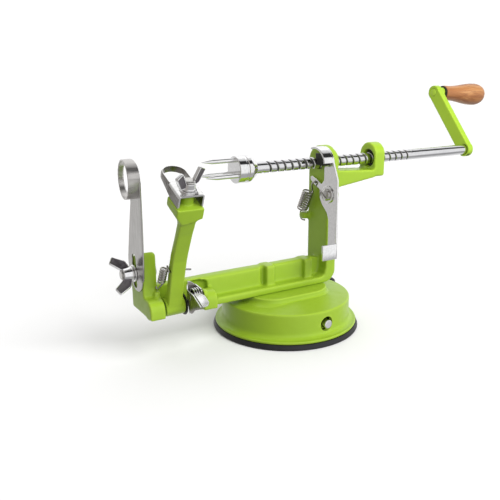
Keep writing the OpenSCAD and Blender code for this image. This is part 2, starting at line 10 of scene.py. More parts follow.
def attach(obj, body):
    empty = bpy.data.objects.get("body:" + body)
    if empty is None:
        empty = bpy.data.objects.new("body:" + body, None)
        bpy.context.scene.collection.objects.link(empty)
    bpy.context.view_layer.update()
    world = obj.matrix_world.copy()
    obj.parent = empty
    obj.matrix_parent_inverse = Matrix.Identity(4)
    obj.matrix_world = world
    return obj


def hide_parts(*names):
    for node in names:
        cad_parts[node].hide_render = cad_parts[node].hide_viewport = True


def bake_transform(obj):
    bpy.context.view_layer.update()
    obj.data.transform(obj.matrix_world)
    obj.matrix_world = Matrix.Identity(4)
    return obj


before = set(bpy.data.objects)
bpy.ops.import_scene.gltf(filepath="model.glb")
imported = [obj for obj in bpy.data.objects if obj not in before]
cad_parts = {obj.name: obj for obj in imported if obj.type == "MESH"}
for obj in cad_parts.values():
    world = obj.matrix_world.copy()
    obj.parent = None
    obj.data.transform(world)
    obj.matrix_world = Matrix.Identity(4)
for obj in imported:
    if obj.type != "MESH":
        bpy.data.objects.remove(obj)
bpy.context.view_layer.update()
scene = bpy.context.scene
MM = 0.001


# ---------------------------------------------------------------- placing
def tr(x, y, z):
    m = np.eye(4)
    m[:3, 3] = (x, y, z)
    return m


def rot(axis, deg):
    c, s = math.cos(math.radians(deg)), math.sin(math.radians(deg))
    m = np.eye(4)
    i, j = {"x": (1, 2), "y": (2, 0), "z": (0, 1)}[axis]
    m[i, i] = m[j, j] = c
    m[i, j], m[j, i] = -s, s
    return m


def put(m, shape):
    v, f = shape
    v = np.asarray(v, float)
    return v @ m[:3, :3].T + m[:3, 3], f


def axis_to(p, d):
    """Frame at p whose Z runs along d."""
    d = np.asarray(d, float) / np.linalg.norm(d)
    a = np.array([0, 0, 1.0]) if abs(d[2]) < 0.9 else np.array([0, 1.0, 0])
    x = np.cross(a, d)
    x /= np.linalg.norm(x)
    m = np.eye(4)
    m[:3, 0], m[:3, 1], m[:3, 2], m[:3, 3] = x, np.cross(d, x), d, p
    return m


ALONG_X = np.array([[0, 0, 1, 0], [1, 0, 0, 0], [0, 1, 0, 0], [0, 0, 0, 1.0]])  # (a, b, h) -> (h, a, b)
ARM = tr(0, -10.5, 33) @ rot("x", 24)
CAM = rot("z", 4.2) @ tr(0, 0, 13)
HND = tr(171.6, 36.37, 156.578) @ rot("y", 2.8)
SCREW_Z = 112.3


# ---------------------------------------------------------------- builders (millimetres)
def fillet(pts, r, n=5, closed=True, hold=0.0):
    """Polyline with its corners rounded; hold adds a point beside each arc so that flats stay flat."""
    pts = [np.asarray(p, float) for p in pts]
    m, out = len(pts), []
    rs = list(r) if hasattr(r, "__len__") else [r] * m
    for i in range(m):
        p = pts[i]
        if not closed and i in (0, m - 1):
            out.append(p)
            continue
        a, b = pts[i - 1] - p, pts[(i + 1) % m] - p
        la, lb = np.linalg.norm(a), np.linalg.norm(b)
        a, b = a / la, b / lb
        ang = math.acos(max(-1.0, min(1.0, float(a @ b))))
        if rs[i] < 1e-4 or ang > math.pi - 0.02 or ang < 0.02:
            out.append(p)
            continue
        t = min(rs[i] / math.tan(ang / 2), 0.46 * la, 0.46 * lb)
        rr = t * math.tan(ang / 2)
        bis = (a + b) / np.linalg.norm(a + b)
        c = p + bis * rr / math.sin(ang / 2)
        s, e = p + a * t - c, p + b * t - c
        a0, a1 = math.atan2(s[1], s[0]), math.atan2(e[1], e[0])
        d = (a1 - a0 + math.pi) % (2 * math.pi) - math.pi
        if hold and t + hold < 0.49 * la:
            out.append(p + a * (t + hold))
        for k in range(n + 1):
            q = a0 + d * k / n
            out.append(c + rr * np.array([math.cos(q), math.sin(q)]))
        if hold and t + hold < 0.49 * lb:
            out.append(p + b * (t + hold))
    return out


def arc(c, r, a0, a1, n):
    return [np.array([c[0] + r * math.cos(math.radians(a0 + (a1 - a0) * k / n)), c[1] + r * math.sin(math.radians(a0 + (a1 - a0) * k / n))]) for k in range(n + 1)]


def inset(outline, d):
    """Outline moved inwards by d (outwards if it runs clockwise)."""
    p = np.asarray(outline, float)
    a, b = p - np.roll(p, 1, 0), np.roll(p, -1, 0) - p
    a /= np.maximum(np.linalg.norm(a, axis=1), 1e-9)[:, None]
    b /= np.maximum(np.linalg.norm(b, axis=1), 1e-9)[:, None]
    na, nb = np.stack([-a[:, 1], a[:, 0]], 1), np.stack([-b[:, 1], b[:, 0]], 1)
    n = na + nb
    ln = np.maximum(np.linalg.norm(n, axis=1), 1e-9)
    n /= ln[:, None]
    k = np.minimum(1 / np.maximum((n * na).sum(1), 0.45), 2.0)
    return p + n * (d * k)[:, None]


def area2(o):
    o = np.asarray(o, float)
    return float((o[:, 0] * np.roll(o[:, 1], -1) - np.roll(o[:, 0], -1) * o[:, 1]).sum())


def inside(p, loops):
    """Even-odd test of a point against closed loops."""
    hit = False
    for o in loops:
        for i in range(len(o)):
            (x0, y0), (x1, y1) = o[i - 1], o[i]
            if (y0 > p[1]) != (y1 > p[1]) and p[0] < x0 + (p[1] - y0) * (x1 - x0) / (y1 - y0):
                hit = not hit
    return hit


def fill(loops):
    """Triangles over an outline and its holes, as indices into the loops' points in a row."""
    pts = [Vector((float(x), float(y))) for o in loops for x, y in o]
    edges, k, out = [], 0, []
    for o in loops:
        edges += [(k + j, k + (j + 1) % len(o)) for j in range(len(o))]
        k += len(o)
    made = delaunay_2d_cdt(pts, edges, [], 0, 1e-7)
    source = [o[0] if o else min(range(len(pts)), key=lambda i: (pts[i] - p).length) for p, o in zip(made[0], made[3])]
    for t in made[2]:
        a, b, c = (made[0][i] for i in t)
        if inside((a + b + c) / 3, loops):
            t = [source[i] for i in t]
            if len(set(t)) == 3:
                out.append(t if (b - a).cross(c - a) > 0 else t[::-1])
    return out


def slab(outline, steps, holes=()):
    """Outline raised through (inset, height) steps, with flat ends; holes follow the same steps."""
    loops = []
    for i, o in enumerate([outline, *holes]):
        o = [np.asarray(p, float)[:2] for p in o]
        if (area2(o) < 0) == (i == 0):
            o = o[::-1]
        loops.append(o)
    v, f, ends = [], [], ([], [])
    for o in loops:
        n, rows = len(o), []
        for d, z in steps:
            q = inset(o, d)
            rows.append(range(len(v), len(v) + n))
            v.extend((x, y, z) for x, y in q)
        for a, b in zip(rows, rows[1:]):
            f.extend((a[k], a[(k + 1) % n], b[(k + 1) % n], b[k]) for k in range(n))
        ends[0].append(list(rows[0]))
        ends[1].append(list(rows[-1]))
    for which, flip in ((ends[0], True), (ends[1], False)):
        flat = [i for o in which for i in o]
        for t in fill([[v[i][:2] for i in o] for o in which]):
            t = [flat[i] for i in t]
            f.append(tuple(t[::-1]) if flip else tuple(t))
    return v, f


def edge_steps(t, b, n=3, hold=0.12):
    """Steps of a plate t thick with rims rounded by b."""
    low = [(b + hold, 0.0)] + [(b * (1 - math.sin(math.pi / 2 * k / n)), b * (1 - math.cos(math.pi / 2 * k / n))) for k in range(n + 1)]
    return low + [(d, t - z) for d, z in reversed(low)]


def plate(outline, t, b=0.3, holes=(), n=3):
    return slab(outline, edge_steps(t, b, n), holes)


def in_yz(shape, x0):
    """Outline in (Y, Z), raised along X from x0."""
    return put(tr(x0, 0, 0) @ ALONG_X, shape)


def lathe(profile, n=64, closed=False):
    """(radius, height) profile turned about Z. Radius 0 closes it."""
    v, f, rows = [], [], []
    for r, h in profile:
        if r < 1e-5:
            rows.append([len(v)])
            v.append((0.0, 0.0, h))
        else:
            rows.append(list(range(len(v), len(v) + n)))
            v.extend((r * math.cos(2 * math.pi * k / n), r * math.sin(2 * math.pi * k / n), h) for k in range(n))
    pairs = list(zip(rows, rows[1:])) + ([(rows[-1], rows[0])] if closed else [])
    for a, b in pairs:
        for k in range(n):
            j = (k + 1) % n
            if len(a) == 1 and len(b) == 1:
                continue
            if len(a) == 1:
                f.append((a[0], b[j], b[k]))
            elif len(b) == 1:
                f.append((a[k], a[j], b[0]))
            else:
                f.append((a[k], a[j], b[j], b[k]))
    return v, f


def turned(pts, r=0.3, n=64, closed=True, seg=4):
    """Turned part from a profile of corners, each rounded by r."""
    return lathe([(p[0], p[1]) for p in fillet(pts, r, seg, closed, 0.1)], n, closed)


def ring_washer(r0, r1, h0, h1, b=0.25, n=64):
    return turned([(r0, h0), (r1, h0), (r1, h1), (r0, h1)], b, n)


def loft(rings, caps=True):
    """Closed rings of equal count joined in a row, with flat ends."""
    n, v, f = len(rings[0]), [], []
    if any(len(r) != n for r in rings):
        raise ValueError("rings of unequal count")
    for r in rings:
        v.extend(tuple(p) for p in r)
    for i in range(len(rings) - 1):
        for k in range(n):
            j = (k + 1) % n
            f.append((i * n + k, i * n + j, (i + 1) * n + j, (i + 1) * n + k))
    if caps:
        f.append(tuple(range(n))[::-1])
        f.append(tuple(range((len(rings) - 1) * n, len(rings) * n)))
    else:
        m = (len(rings) - 1) * n
        f.extend((m + k, m + (k + 1) % n, (k + 1) % n, k) for k in range(n))
    return v, f


def spline(pts, per=8):
    """Smooth curve through points."""
    p = [np.asarray(q, float) for q in pts]
    p = [2 * p[0] - p[1]] + p + [2 * p[-1] - p[-2]]
    out = []
    for i in range(1, len(p) - 2):
        for k in range(per):
            t = k / per
            out.append(0.5 * (2 * p[i] + (p[i + 1] - p[i - 1]) * t + (2 * p[i - 1] - 5 * p[i] + 4 * p[i + 1] - p[i + 2]) * t * t + (3 * p[i] - p[i - 1] - 3 * p[i + 1] + p[i + 2]) * t ** 3))
    out.append(p[-2])
    return out


def wire(path, r, n=12):
    """Round wire along a path, with rounded ends."""
    p = np.asarray(path, float)
    t = np.gradient(p, axis=0)
    t /= np.linalg.norm(t, axis=1)[:, None]
    u = np.cross(t[0], [0.31, 0.17, 0.93])
    u /= np.linalg.norm(u)
    rings = []

    def ring(c, u, w, rad):
        return [c + rad * (u * math.cos(2 * math.pi * k / n) + w * math.sin(2 * math.pi * k / n)) for k in range(n)]

    for i in range(len(p)):
        u = u - t[i] * (u @ t[i])
        u /= np.linalg.norm(u)
        w = np.cross(t[i], u)
        if i == 0:
            for a in (15, 40, 65):
                rings.append(ring(p[0] - t[0] * r * math.cos(math.radians(a)), u, w, r * math.sin(math.radians(a))))
        rings.append(ring(p[i], u, w, r))
        if i == len(p) - 1:
            for a in (65, 40, 15):
                rings.append(ring(p[i] + t[i] * r * math.cos(math.radians(a)), u, w, r * math.sin(math.radians(a))))
    return loft(rings)


def coil(p, q, r, turns, per, a0=0.0):
    p, q = np.asarray(p, float), np.asarray(q, float)
    d = (q - p) / np.linalg.norm(q - p)
    e1 = np.array([1.0, 0, 0])
    e1 -= d * (e1 @ d)
    e1 /= np.linalg.norm(e1)
    e2 = np.cross(d, e1)
    n = int(turns * per)
    return [p + (q - p) * i / n + r * (e1 * math.cos(math.radians(a0) + 2 * math.pi * turns * i / n) + e2 * math.sin(math.radians(a0) + 2 * math.pi * turns * i / n)) for i in range(n + 1)]


def threaded(R, pitch, x0, turns, section, before, after, n=64, phase=0.0, fade=0.5, deep=0.3):
    """Shaft along Z with a helical groove. section: (offset over the pitch, depth); before and after: (radius, height) rows of the plain ends. Returns the shaft and the groove's bottom."""
    J, K = len(section), turns * n
    v, f, low = [], [], []

    def ramp(k):
        t = min(k, K - k) / (fade * n)
        t = max(0.0, min(1.0, t))
        return t * t * (3 - 2 * t)

    for k in range(K + 1):
        a, g = phase + 2 * math.pi * k / n, ramp(k)
        for s, d in section:
            r = R - d * g
            v.append((r * math.cos(a), r * math.sin(a), x0 + pitch * k / n + s))

    def at(k, j):
        return k * J + j

    for k in range(K):
        for j in range(J - 1):
            kept = low if min(section[j][1], section[j + 1][1]) * ramp(k) > deep else f
            kept.append((at(k, j), at(k + 1, j), at(k + 1, j + 1), at(k, j + 1)))
        if k + 1 + n <= K:
            f.append((at(k, J - 1), at(k + 1, J - 1), at(k + 1 + n, 0), at(k + n, 0)))

    def row(r, h):
        b = len(v)
        if r < 1e-5:
            v.append((0.0, 0.0, h))
            return [b]
        v.extend((r * math.cos(phase + 2 * math.pi * k / n), r * math.sin(phase + 2 * math.pi * k / n), h) for k in range(n))
        return list(range(b, b + n))

    def rows(list_):
        made = [row(r, h) for r, h in list_]
        for a, b in zip(made, made[1:]):
            for k in range(n):
                j = (k + 1) % n
                f.append((a[k], a[j], b[j], b[k]) if len(b) > 1 else (a[k], a[j], b[0]))
        return made[0]

    lo, hi = rows(before), rows(after)
    for k in range(n - 1):
        f.append((lo[k], lo[k + 1], at(k + 1, 0), at(k, 0)))
    f.append(tuple([lo[n - 1], lo[0]] + [at(0, j) for j in range(J)] + [at(n, 0), at(n - 1, 0)]))
    for k in range(K - n + 1, K):
        f.append((at(k, J - 1), at(k + 1, J - 1), hi[(k + 1) % n], hi[k % n]))
    k = K - n
    f.append(tuple([at(k, J - 1), at(k + 1, J - 1), hi[1], hi[0]] + [at(K, j) for j in range(J - 1, -1, -1)]))
    return (v, f), (v, low)


def wing_nut(bore, hub, h, span, tip, top=None):
    """Wing nut along +Z with its seat at 0: hub, and two wings with sunk panels. Returns (hub and rims, panels)."""
    join = (hub * 0.66, top * 0.9) if top else (hub * 0.45, h * 0.94)
    top = top or h
    hub_shape = turned([(bore, 0.25), (bore + 0.5, 0), (hub, 0), (hub, 0.9), (hub * 0.95, 1.3), (hub * 0.84, top - 0.2), (hub * 0.7, top), (bore + 0.5, top), (bore, top - 0.5)], [0.05, 0.05, 0.3, 0.3, 0.3, 0.6, 0.5, 0.1, 0.1], 48)
    o = [(hub * 0.45, h * 0.18), (hub * 0.97, h * 0.2), (span - 4.2, tip - 10.3), (span - 0.1, tip - 2.75), (span - 4.6, tip - 0.1), join]
    o = fillet(o, [0, 1.6, 2.6, 1.15, 1.15, 0], 6)
    rim = [(0.62, -1.02), (0.42, -1.12), (0.2, -1.05), (0.05, -0.85), (0, -0.5), (0, 0.5), (0.05, 0.85), (0.2, 1.05), (0.42, 1.12), (0.62, 1.02)]
    rims, panels = [hub_shape], []
    for s in (0, 180):
        m = rot("z", s) @ rot("x", 90)
        v, f = slab(o, rim)
        n = len(o)
        body = [q for q in f if len(q) == 4]
        rims.append(put(m, (v, body)))
        for sign in (-1, 1):
            steps = [(0.62, sign * 1.02), (0.74, sign * 0.8), (0.86, sign * 0.58), (1.05, sign * 0.55)]
            pv, pf = slab(o, steps)
            end = n * (len(steps) - 1)
            tri = [q for q in pf if len(q) == 3 and min(q) >= end]
            quad = [q for q in pf if len(q) == 4]
            panels.append(put(m, (pv, quad + tri)))
    return rims, panels


# ---------------------------------------------------------------- materials
def begin(name):
    m = bpy.data.materials.new(name)
    m.use_nodes = True
    nt = m.node_tree
    b = nt.nodes["Principled BSDF"]
    co = nt.nodes.new("ShaderNodeTexCoord").outputs["Object"]
    return m, nt, b, co


def mapped(nt, co, scale, turn=(0, 0, 0)):
    k = nt.nodes.new("ShaderNodeMapping")
    k.inputs["Scale"].default_value = scale
    k.inputs["Rotation"].default_value = [math.radians(a) for a in turn]
    nt.links.new(co, k.inputs["Vector"])
    return k.outputs["Vector"]


def noise(nt, co, scale, detail=4.0, rough=0.55, distortion=0.0):
    k = nt.nodes.new("ShaderNodeTexNoise")
    k.inputs["Scale"].default_value = scale
    k.inputs["Detail"].default_value = detail
    k.inputs["Roughness"].default_value = rough
    k.inputs["Distortion"].default_value = distortion
    nt.links.new(co, k.inputs["Vector"])
    return k.outputs["Fac"]


def ramp(nt, fac, stops):
    k = nt.nodes.new("ShaderNodeValToRGB")
    e = k.color_ramp.elements
    while len(e) < len(stops):
        e.new(0.5)
    for x, (p, c) in zip(e, stops):
        x.position = p
        x.color = (*c, 1) if len(c) == 3 else c
    nt.links.new(fac, k.inputs["Fac"])
    return k.outputs["Color"]


def span(nt, fac, a, b, lo=0.3, hi=0.7):
    k = nt.nodes.new("ShaderNodeMapRange")
    k.inputs["From Min"].default_value = lo
    k.inputs["From Max"].default_value = hi
    k.inputs["To Min"].default_value = a
    k.inputs["To Max"].default_value = b
    nt.links.new(fac, k.inputs["Value"])
    return k.outputs["Result"]


def mix(nt, fac, a, b, kind="MIX"):
    k = nt.nodes.new("ShaderNodeMix")
    k.data_type = "RGBA"
    k.blend_type = kind
    for socket, value in ((k.inputs[0], fac), (k.inputs[6], a), (k.inputs[7], b)):
        if isinstance(value, (int, float)):
            socket.default_value = value
        elif isinstance(value, tuple):
            socket.default_value = (*value, 1)
        else:
            nt.links.new(value, socket)
    return k.outputs[2]


def bump(nt, b, heights, distance):
    """Bumps from (height, strength) pairs, one on the other."""
    last = None
    for h, s in heights:
        k = nt.nodes.new("ShaderNodeBump")
        k.inputs["Strength"].default_value = s
        k.inputs["Distance"].default_value = distance
        nt.links.new(h, k.inputs["Height"])
        if last is not None:
            nt.links.new(last, k.inputs["Normal"])
        last = k.outputs["Normal"]
    nt.links.new(last, b.inputs["Normal"])


def to(nt, out, b, socket):
    nt.links.new(out, b.inputs[socket])


def paint(name, dark, light, edge_highlight):
    m, nt, b, co = begin(name)
    big, fine = noise(nt, co, 22, 3), noise(nt, co, 240, 5)
    c = ramp(nt, big, [(0.3, dark), (0.7, light)])
    c = mix(nt, span(nt, fine, 0.0, 0.16), c, tuple(x * 0.82 for x in dark))
    # convex edges, found by Pointiness, are mixed towards the third colour: a painted highlight along the edges
    geo = nt.nodes.new("ShaderNodeNewGeometry")
    c = mix(nt, span(nt, geo.outputs["Pointiness"], 0.0, 0.55, 0.505, 0.56), c, edge_highlight)
    to(nt, c, b, "Base Color")
    to(nt, span(nt, fine, 0.32, 0.44), b, "Roughness")
    b.inputs["Coat Weight"].default_value = 0.12
    b.inputs["Coat Roughness"].default_value = 0.18
    b.inputs["Specular IOR Level"].default_value = 0.32
    bump(nt, b, [(noise(nt, co, 420, 3), 0.05), (noise(nt, co, 70, 2), 0.05)], 0.0004)
    return m


def metal(name, dark, light, rough, grain=None, wave=0.03, turn=(0, 0, 0)):
    m, nt, b, co = begin(name)
    b.inputs["Metallic"].default_value = 1.0
    smudge = noise(nt, co, 120, 4)
    g = noise(nt, mapped(nt, co, grain or (300, 300, 300), turn), 1.0 if grain else 2.0, 4, 0.6)
    c = ramp(nt, g, [(0.3, dark), (0.7, light)])
    to(nt, mix(nt, span(nt, smudge, 0.0, 0.25, 0.45, 0.75), c, tuple(x * 0.8 for x in dark)), b, "Base Color")
    to(nt, mix(nt, 0.5, span(nt, smudge, *rough), span(nt, g, *rough)), b, "Roughness")
    bump(nt, b, [(g, 0.025 if grain else 0.006), (noise(nt, co, 45, 2), wave)], 0.0004)
    return m


def dull(name, dark, light, rough, metallic=0.0, scale=300, depth=0.12):
    m, nt, b, co = begin(name)
    b.inputs["Metallic"].default_value = metallic
    g, big = noise(nt, co, scale, 5, 0.6), noise(nt, co, 30, 3)
    c = ramp(nt, g, [(0.3, dark), (0.7, light)])
    to(nt, mix(nt, span(nt, big, 0.0, 0.5), c, light), b, "Base Color")
    to(nt, span(nt, g, *rough), b, "Roughness")
    bump(nt, b, [(g, depth), (noise(nt, co, scale * 4, 2), depth * 0.6)], 0.0003)
    return m


def wood(name):
    m, nt, b, co = begin(name)
    along = mapped(nt, co, (1, 1, 1), (0, -2.8, 0))
    wide = noise(nt, mapped(nt, along, (10, 150, 150)), 1.0, 4, 0.6, 0.9)
    streak = noise(nt, mapped(nt, along, (15, 560, 560)), 1.0, 5, 0.7, 0.3)
    pore = noise(nt, mapped(nt, along, (70, 2400, 2400)), 1.0, 3, 0.6)
    c = ramp(nt, wide, [(0.34, (0.205, 0.070, 0.019)), (0.46, (0.295, 0.116, 0.035)), (0.56, (0.370, 0.164, 0.054)), (0.68, (0.460, 0.240, 0.098))])
    c = mix(nt, span(nt, streak, 0.0, 0.75, 0.50, 0.66), c, (0.175, 0.055, 0.015))
    c = mix(nt, span(nt, pore, 0.0, 0.6, 0.56, 0.70), c, (0.10, 0.032, 0.010))
    to(nt, c, b, "Base Color")
    to(nt, span(nt, streak, 0.36, 0.52), b, "Roughness")
    b.inputs["Coat Weight"].default_value = 0.12
    b.inputs["Coat Roughness"].default_value = 0.25
    bump(nt, b, [(streak, 0.10), (pore, 0.12)], 0.0003)
    return m


# lime paint; its third colour is the painted highlight on convex edges
LIME = paint("lime_paint", (0.248, 0.390, 0.021), (0.280, 0.430, 0.026), (0.38, 0.54, 0.06))
CHROME = metal("plated_steel", (0.82, 0.82, 0.825), (0.92, 0.92, 0.925), (0.05, 0.12), None, 0.014)
BLADE = metal("blade_steel", (0.40, 0.39, 0.375), (0.52, 0.51, 0.495), (0.14, 0.26), (900, 900, 40), 0.05)
DECK = metal("deck_steel", (0.74, 0.735, 0.73), (0.88, 0.88, 0.875), (0.10, 0.2), (60, 700, 700), 0.02)
RING = metal("ring_steel", (0.46, 0.445, 0.43), (0.68, 0.665, 0.65), (0.24, 0.36), (90, 700, 700), 0.03)
# dark steel: the latch rivet's own colour, and painted shade on the latch's bent sheet and on the strip under its thumb
# plate
GROUND_AND_SHADE = metal("ground_steel_and_shade", (0.20, 0.185, 0.17), (0.36, 0.345, 0.33), (0.22, 0.36), (700, 700, 90), 0.05)
# darker steel for the peeler's channel sides and loop flanks: painted shade and painted dark reflection
SIDE_SHADE_STEEL = metal("peeler_side_shade", (0.21, 0.196, 0.182), (0.31, 0.296, 0.282), (0.22, 0.34), (900, 900, 320), 0.03)
SCREW = metal("screw_steel", (0.70, 0.70, 0.72), (0.82, 0.82, 0.83), (0.07, 0.16), (60, 700, 700), 0.02)
# near-black floor of the thread grooves: painted shade in the grooves
GROOVE_SHADE = dull("screw_groove_shade", (0.035, 0.035, 0.035), (0.10, 0.10, 0.10), (0.4, 0.55), 0.7)
FIXING = metal("fixings", (0.52, 0.51, 0.49), (0.68, 0.67, 0.65), (0.16, 0.28))
SPRING = metal("spring_steel", (0.34, 0.325, 0.305), (0.52, 0.50, 0.475), (0.14, 0.26))
DARK = dull("dark_steel", (0.018, 0.019, 0.016), (0.05, 0.052, 0.045), (0.35, 0.5), 0.6)
# darker metal for the wing nuts' sunk panels
DARK_PANEL_METAL = dull("dark_wing_panel", (0.13, 0.118, 0.132), (0.24, 0.225, 0.24), (0.34, 0.48), 0.9, 500, 0.10)
RUBBER = dull("rubber_pad", (0.006, 0.006, 0.007), (0.014, 0.014, 0.016), (0.42, 0.58), 0.0, 260, 0.10)
GRIP = dull("black_grip", (0.010, 0.010, 0.012), (0.020, 0.020, 0.023), (0.30, 0.45), 0.0, 420, 0.10)
WOOD = wood("handle_wood")


# ---------------------------------------------------------------- pieces
def piece(name, parts, mats, body, nodes=(), sharp=38):
    """One object from (shape, material index) parts. body None leaves it loose."""
    v, f, ids = [], [], []
    for shape, i in parts:
        base = len(v)
        v.extend((float(x) * MM, float(y) * MM, float(z) * MM) for x, y, z in shape[0])
        f.extend(tuple(k + base for k in q) for q in shape[1])
        ids.extend([i] * len(shape[1]))
    me = bpy.data.meshes.new(name)
    me.from_pydata(v, [], f)
    me.polygons.foreach_set("material_index", ids)
    bm = bmesh.new()
    bm.from_mesh(me)
    bmesh.ops.remove_doubles(bm, verts=bm.verts, dist=1e-7)
    bmesh.ops.recalc_face_normals(bm, faces=bm.faces)
    for q in bm.faces:
        q.smooth = True
    bm.to_mesh(me)
    bm.free()
    me.set_sharp_from_angle(angle=math.radians(sharp))
    for m in mats:
        me.materials.append(m)
    ob = bpy.data.objects.new(name, me)
    scene.collection.objects.link(ob)
    return dress(ob, body, nodes)


def dress(ob, body, nodes):
    if body:
        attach(ob, body)
    if nodes:
        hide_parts(*nodes)
    return ob


def casting(name, node, voxel, rounds, body, mat):
    """Cast piece: the CAD shape with soft edges and filled inner corners."""
    ob = bpy.data.objects.new(name + "_rough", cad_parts[node].data.copy())
    scene.collection.objects.link(ob)
    w = ob.modifiers.new("weld", "WELD")
    w.merge_threshold = 2e-6
    r = ob.modifiers.new("remesh", "REMESH")
    r.mode = "VOXEL"
    r.voxel_size = voxel * MM
    r.adaptivity = 0
    me = bpy.data.meshes.new_from_object(ob.evaluated_get(bpy.context.evaluated_depsgraph_get()))
    bpy.data.objects.remove(ob)
    n = len(me.vertices)
    co = np.empty(n * 3)
    me.vertices.foreach_get("co", co)
    co = co.reshape(-1, 3)
    e = np.empty(len(me.edges) * 2, np.int64)
    me.edges.foreach_get("vertices", e)
    e = e.reshape(-1, 2)
    deg = np.maximum(np.bincount(e.ravel(), minlength=n), 1)
    for _ in range(rounds):
        s = np.stack([np.bincount(e[:, 0], co[e[:, 1], k], n) + np.bincount(e[:, 1], co[e[:, 0], k], n) for k in range(3)], 1)
        co = co + 0.5 * (s / deg[:, None] - co)
    me.vertices.foreach_set("co", co.ravel())
    me.polygons.foreach_set("use_smooth", [True] * len(me.polygons))
    me.materials.clear()
    me.materials.append(mat)
    me.update()
    me.name = name
    ob = bpy.data.objects.new(name, me)
    scene.collection.objects.link(ob)
    return dress(ob, body, [node])


# castings
casting("frame_casting", "frame", 0.66, 8, "stand", LIME)
casting("arm_casting", "peeling_arm", 0.42, 11, "arm", LIME)
casting("crank_casting", "crank_arm", 0.36, 9, "screw", LIME)

# base: turned shell with an access hole, a raised seat and a bearing boss behind
shell = [(0, 26.6), (19, 26.6), (19, 24.0), (28, 24.0), (34, 23.294), (40, 22.588), (45, 22.0)] + [(45, 19.6 - 1.2 * k) for k in range(9)] + [tuple(q) for q in arc((48.5, 8.9), 3.5, 180, 270, 9)] + [(50, 5.4), (50, 3.4), (42, 3.4), (42, 18.2), (36, 18.2), (36, 21.2), (14, 21.2), (14, 24.8), (0, 24.8)]
shell = fillet(shell, [0, 0.3, 0.3, 2.0, 0, 0, 1.4] + [0] * 19 + [0.9, 0.9, 0.3, 0.3, 0.3, 0.3, 0.3, 0.3, 0], 6, False, 0.15)
base = piece("base_shell", [(lathe([(q[0], q[1]) for q in shell], 192), 0)], [LIME], None, [])
hole_v, hole_f = put(CAM @ rot("x", 90), lathe([(0, 40), (5, 40), (5, 60), (0, 60)], 72))
hole_me = bpy.data.meshes.new("hole")
hole_me.from_pydata([tuple(q * MM for q in v) for v in hole_v], [], hole_f)
hole = bpy.data.objects.new("hole", hole_me)
scene.collection.objects.link(hole)
seat = fillet([(-33, -23.5), (27, -23.5), (27, 23.5), (-33, 23.5)], 17, 16)
seat = slab(seat, [(8.4, 25.3), (0.6, 22.5), (-3.4, 22.1), (-3.2, 22.75), (-2.4, 23.35), (-1.5, 23.85), (-0.8, 24.5), (-0.3, 25.3), (0, 26.2), (0, 26.9), (0.12, 27.25), (0.4, 27.53), (0.8, 27.66), (1.5, 27.68)])
boss = turned([(0, 40), (6.4, 40), (6.4, 45.6), (0, 45.6)], [0, 0.3, 0.8, 0], 48, False)
block = plate([(-6.5, -7), (6.5, -7), (6.5, 8.2), (-6.5, 8.2)], 7, 0.4)
rest = piece("base_rest", [(seat, 0), (put(CAM @ rot("x", -90), boss), 0), (put(CAM @ tr(0, -31, 0) @ rot("x", 90), block), 0)], [LIME], None, [])
cut_hole = base.modifiers.new("hole", "BOOLEAN")
cut_hole.object = hole
cut_hole.operation = "DIFFERENCE"
cut_hole.solver = "EXACT"
bpy.context.view_layer.update()
base_me = bpy.data.meshes.new_from_object(base.evaluated_get(bpy.context.evaluated_depsgraph_get()))
bm = bmesh.new()
bm.from_mesh(base_me)
bm.from_mesh(rest.data)
for q in bm.faces:
    q.smooth = True
    q.material_index = 0
bm.to_mesh(base_me)
bm.free()
base_me.set_sharp_from_angle(angle=math.radians(38))
base_me.materials.clear()
base_me.materials.append(LIME)
base.modifiers.clear()
base.data = base_me
bpy.data.objects.remove(hole)
bpy.data.objects.remove(rest)
dress(base, "stand", ["base_housing"])

# rubber pad with a flared lip and ridges underneath
pad = fillet([(0, 0.7), (29.5, 0.7), (30.3, 0.25), (31.3, 0.25), (32.1, 0.7), (35.5, 0.7), (36.3, 0.25), (37.3, 0.25), (38.1, 0.7), (41.8, 0.7), (43.5, 0), (51.4, 0), (51.35, 1.1), (50.4, 3.4), (43.4, 3.4), (43.0, 2.0), (0, 2.0)], [0, 0.4, 0.3, 0.3, 0.4, 0.4, 0.3, 0.3, 0.4, 0.5, 0.5, 0.6, 0.8, 0.35, 0.2, 0.2, 0], 4, False, 0.1)
piece("pad", [(lathe([(p[0], p[1]) for p in pad], 144), 0)], [RUBBER], "stand", ["suction_pad"])

# suction lever
shaft = turned([(0, -46.8), (3, -46.8), (3, 56.6), (0, 56.6)], [0, 0.55, 0.55, 0], 48, False)
TO_Y = rot("x", -90)
piece("cam_pin", [(put(CAM @ TO_Y, shaft), 0)], [CHROME], "suction", ["cam_shaft"])
LEV = np.array([71.4, -22.6, -5.6])
HUB = np.array([0, 53.5, 0])
lever_len = float(np.linalg.norm(LEV))
lever_frame = CAM @ axis_to(HUB, LEV)
hub = turned([(3.02, 48.8), (5.5, 48.8), (5.5, 57.6), (3.02, 57.6)], [0.2, 0.7, 0.9, 0.3], 56)
rod = turned([(0, 4.2), (2.6, 4.2), (2.6, lever_len * 0.62 + 2.2), (0, lever_len * 0.62 + 2.2)], [0, 0.3, 1.6, 0], 40, False)
piece("lever_rod", [(put(CAM @ TO_Y, hub), 0), (put(lever_frame, rod), 0)], [CHROME], "suction", ["suction_lever"])
g0 = lever_len * 0.46 - 3.3
prof = [(2.62, g0 + 0.5), (3.3, g0), (3.62, g0 + 0.9), (3.62, g0 + 2.6), (3.3, g0 + 3.4), (3.25, g0 + 6), (3.55, g0 + 16), (3.75, g0 + 27), (3.8, lever_len - 1.0)]
prof = [(float(a), float(b)) for a, b in spline([(r, h) for r, h in prof], 5)]
prof += [(3.8 * math.cos(math.radians(a)), lever_len - 1.0 + 4.6 * math.sin(math.radians(a))) for a in range(9, 90, 9)] + [(0, lever_len + 3.6)]
prof = [(0.0, g0 + 0.5)] + prof
piece("lever_handle", [(put(lever_frame, lathe(prof, 40)), 0)], [GRIP], "suction", ["lever_grip"])

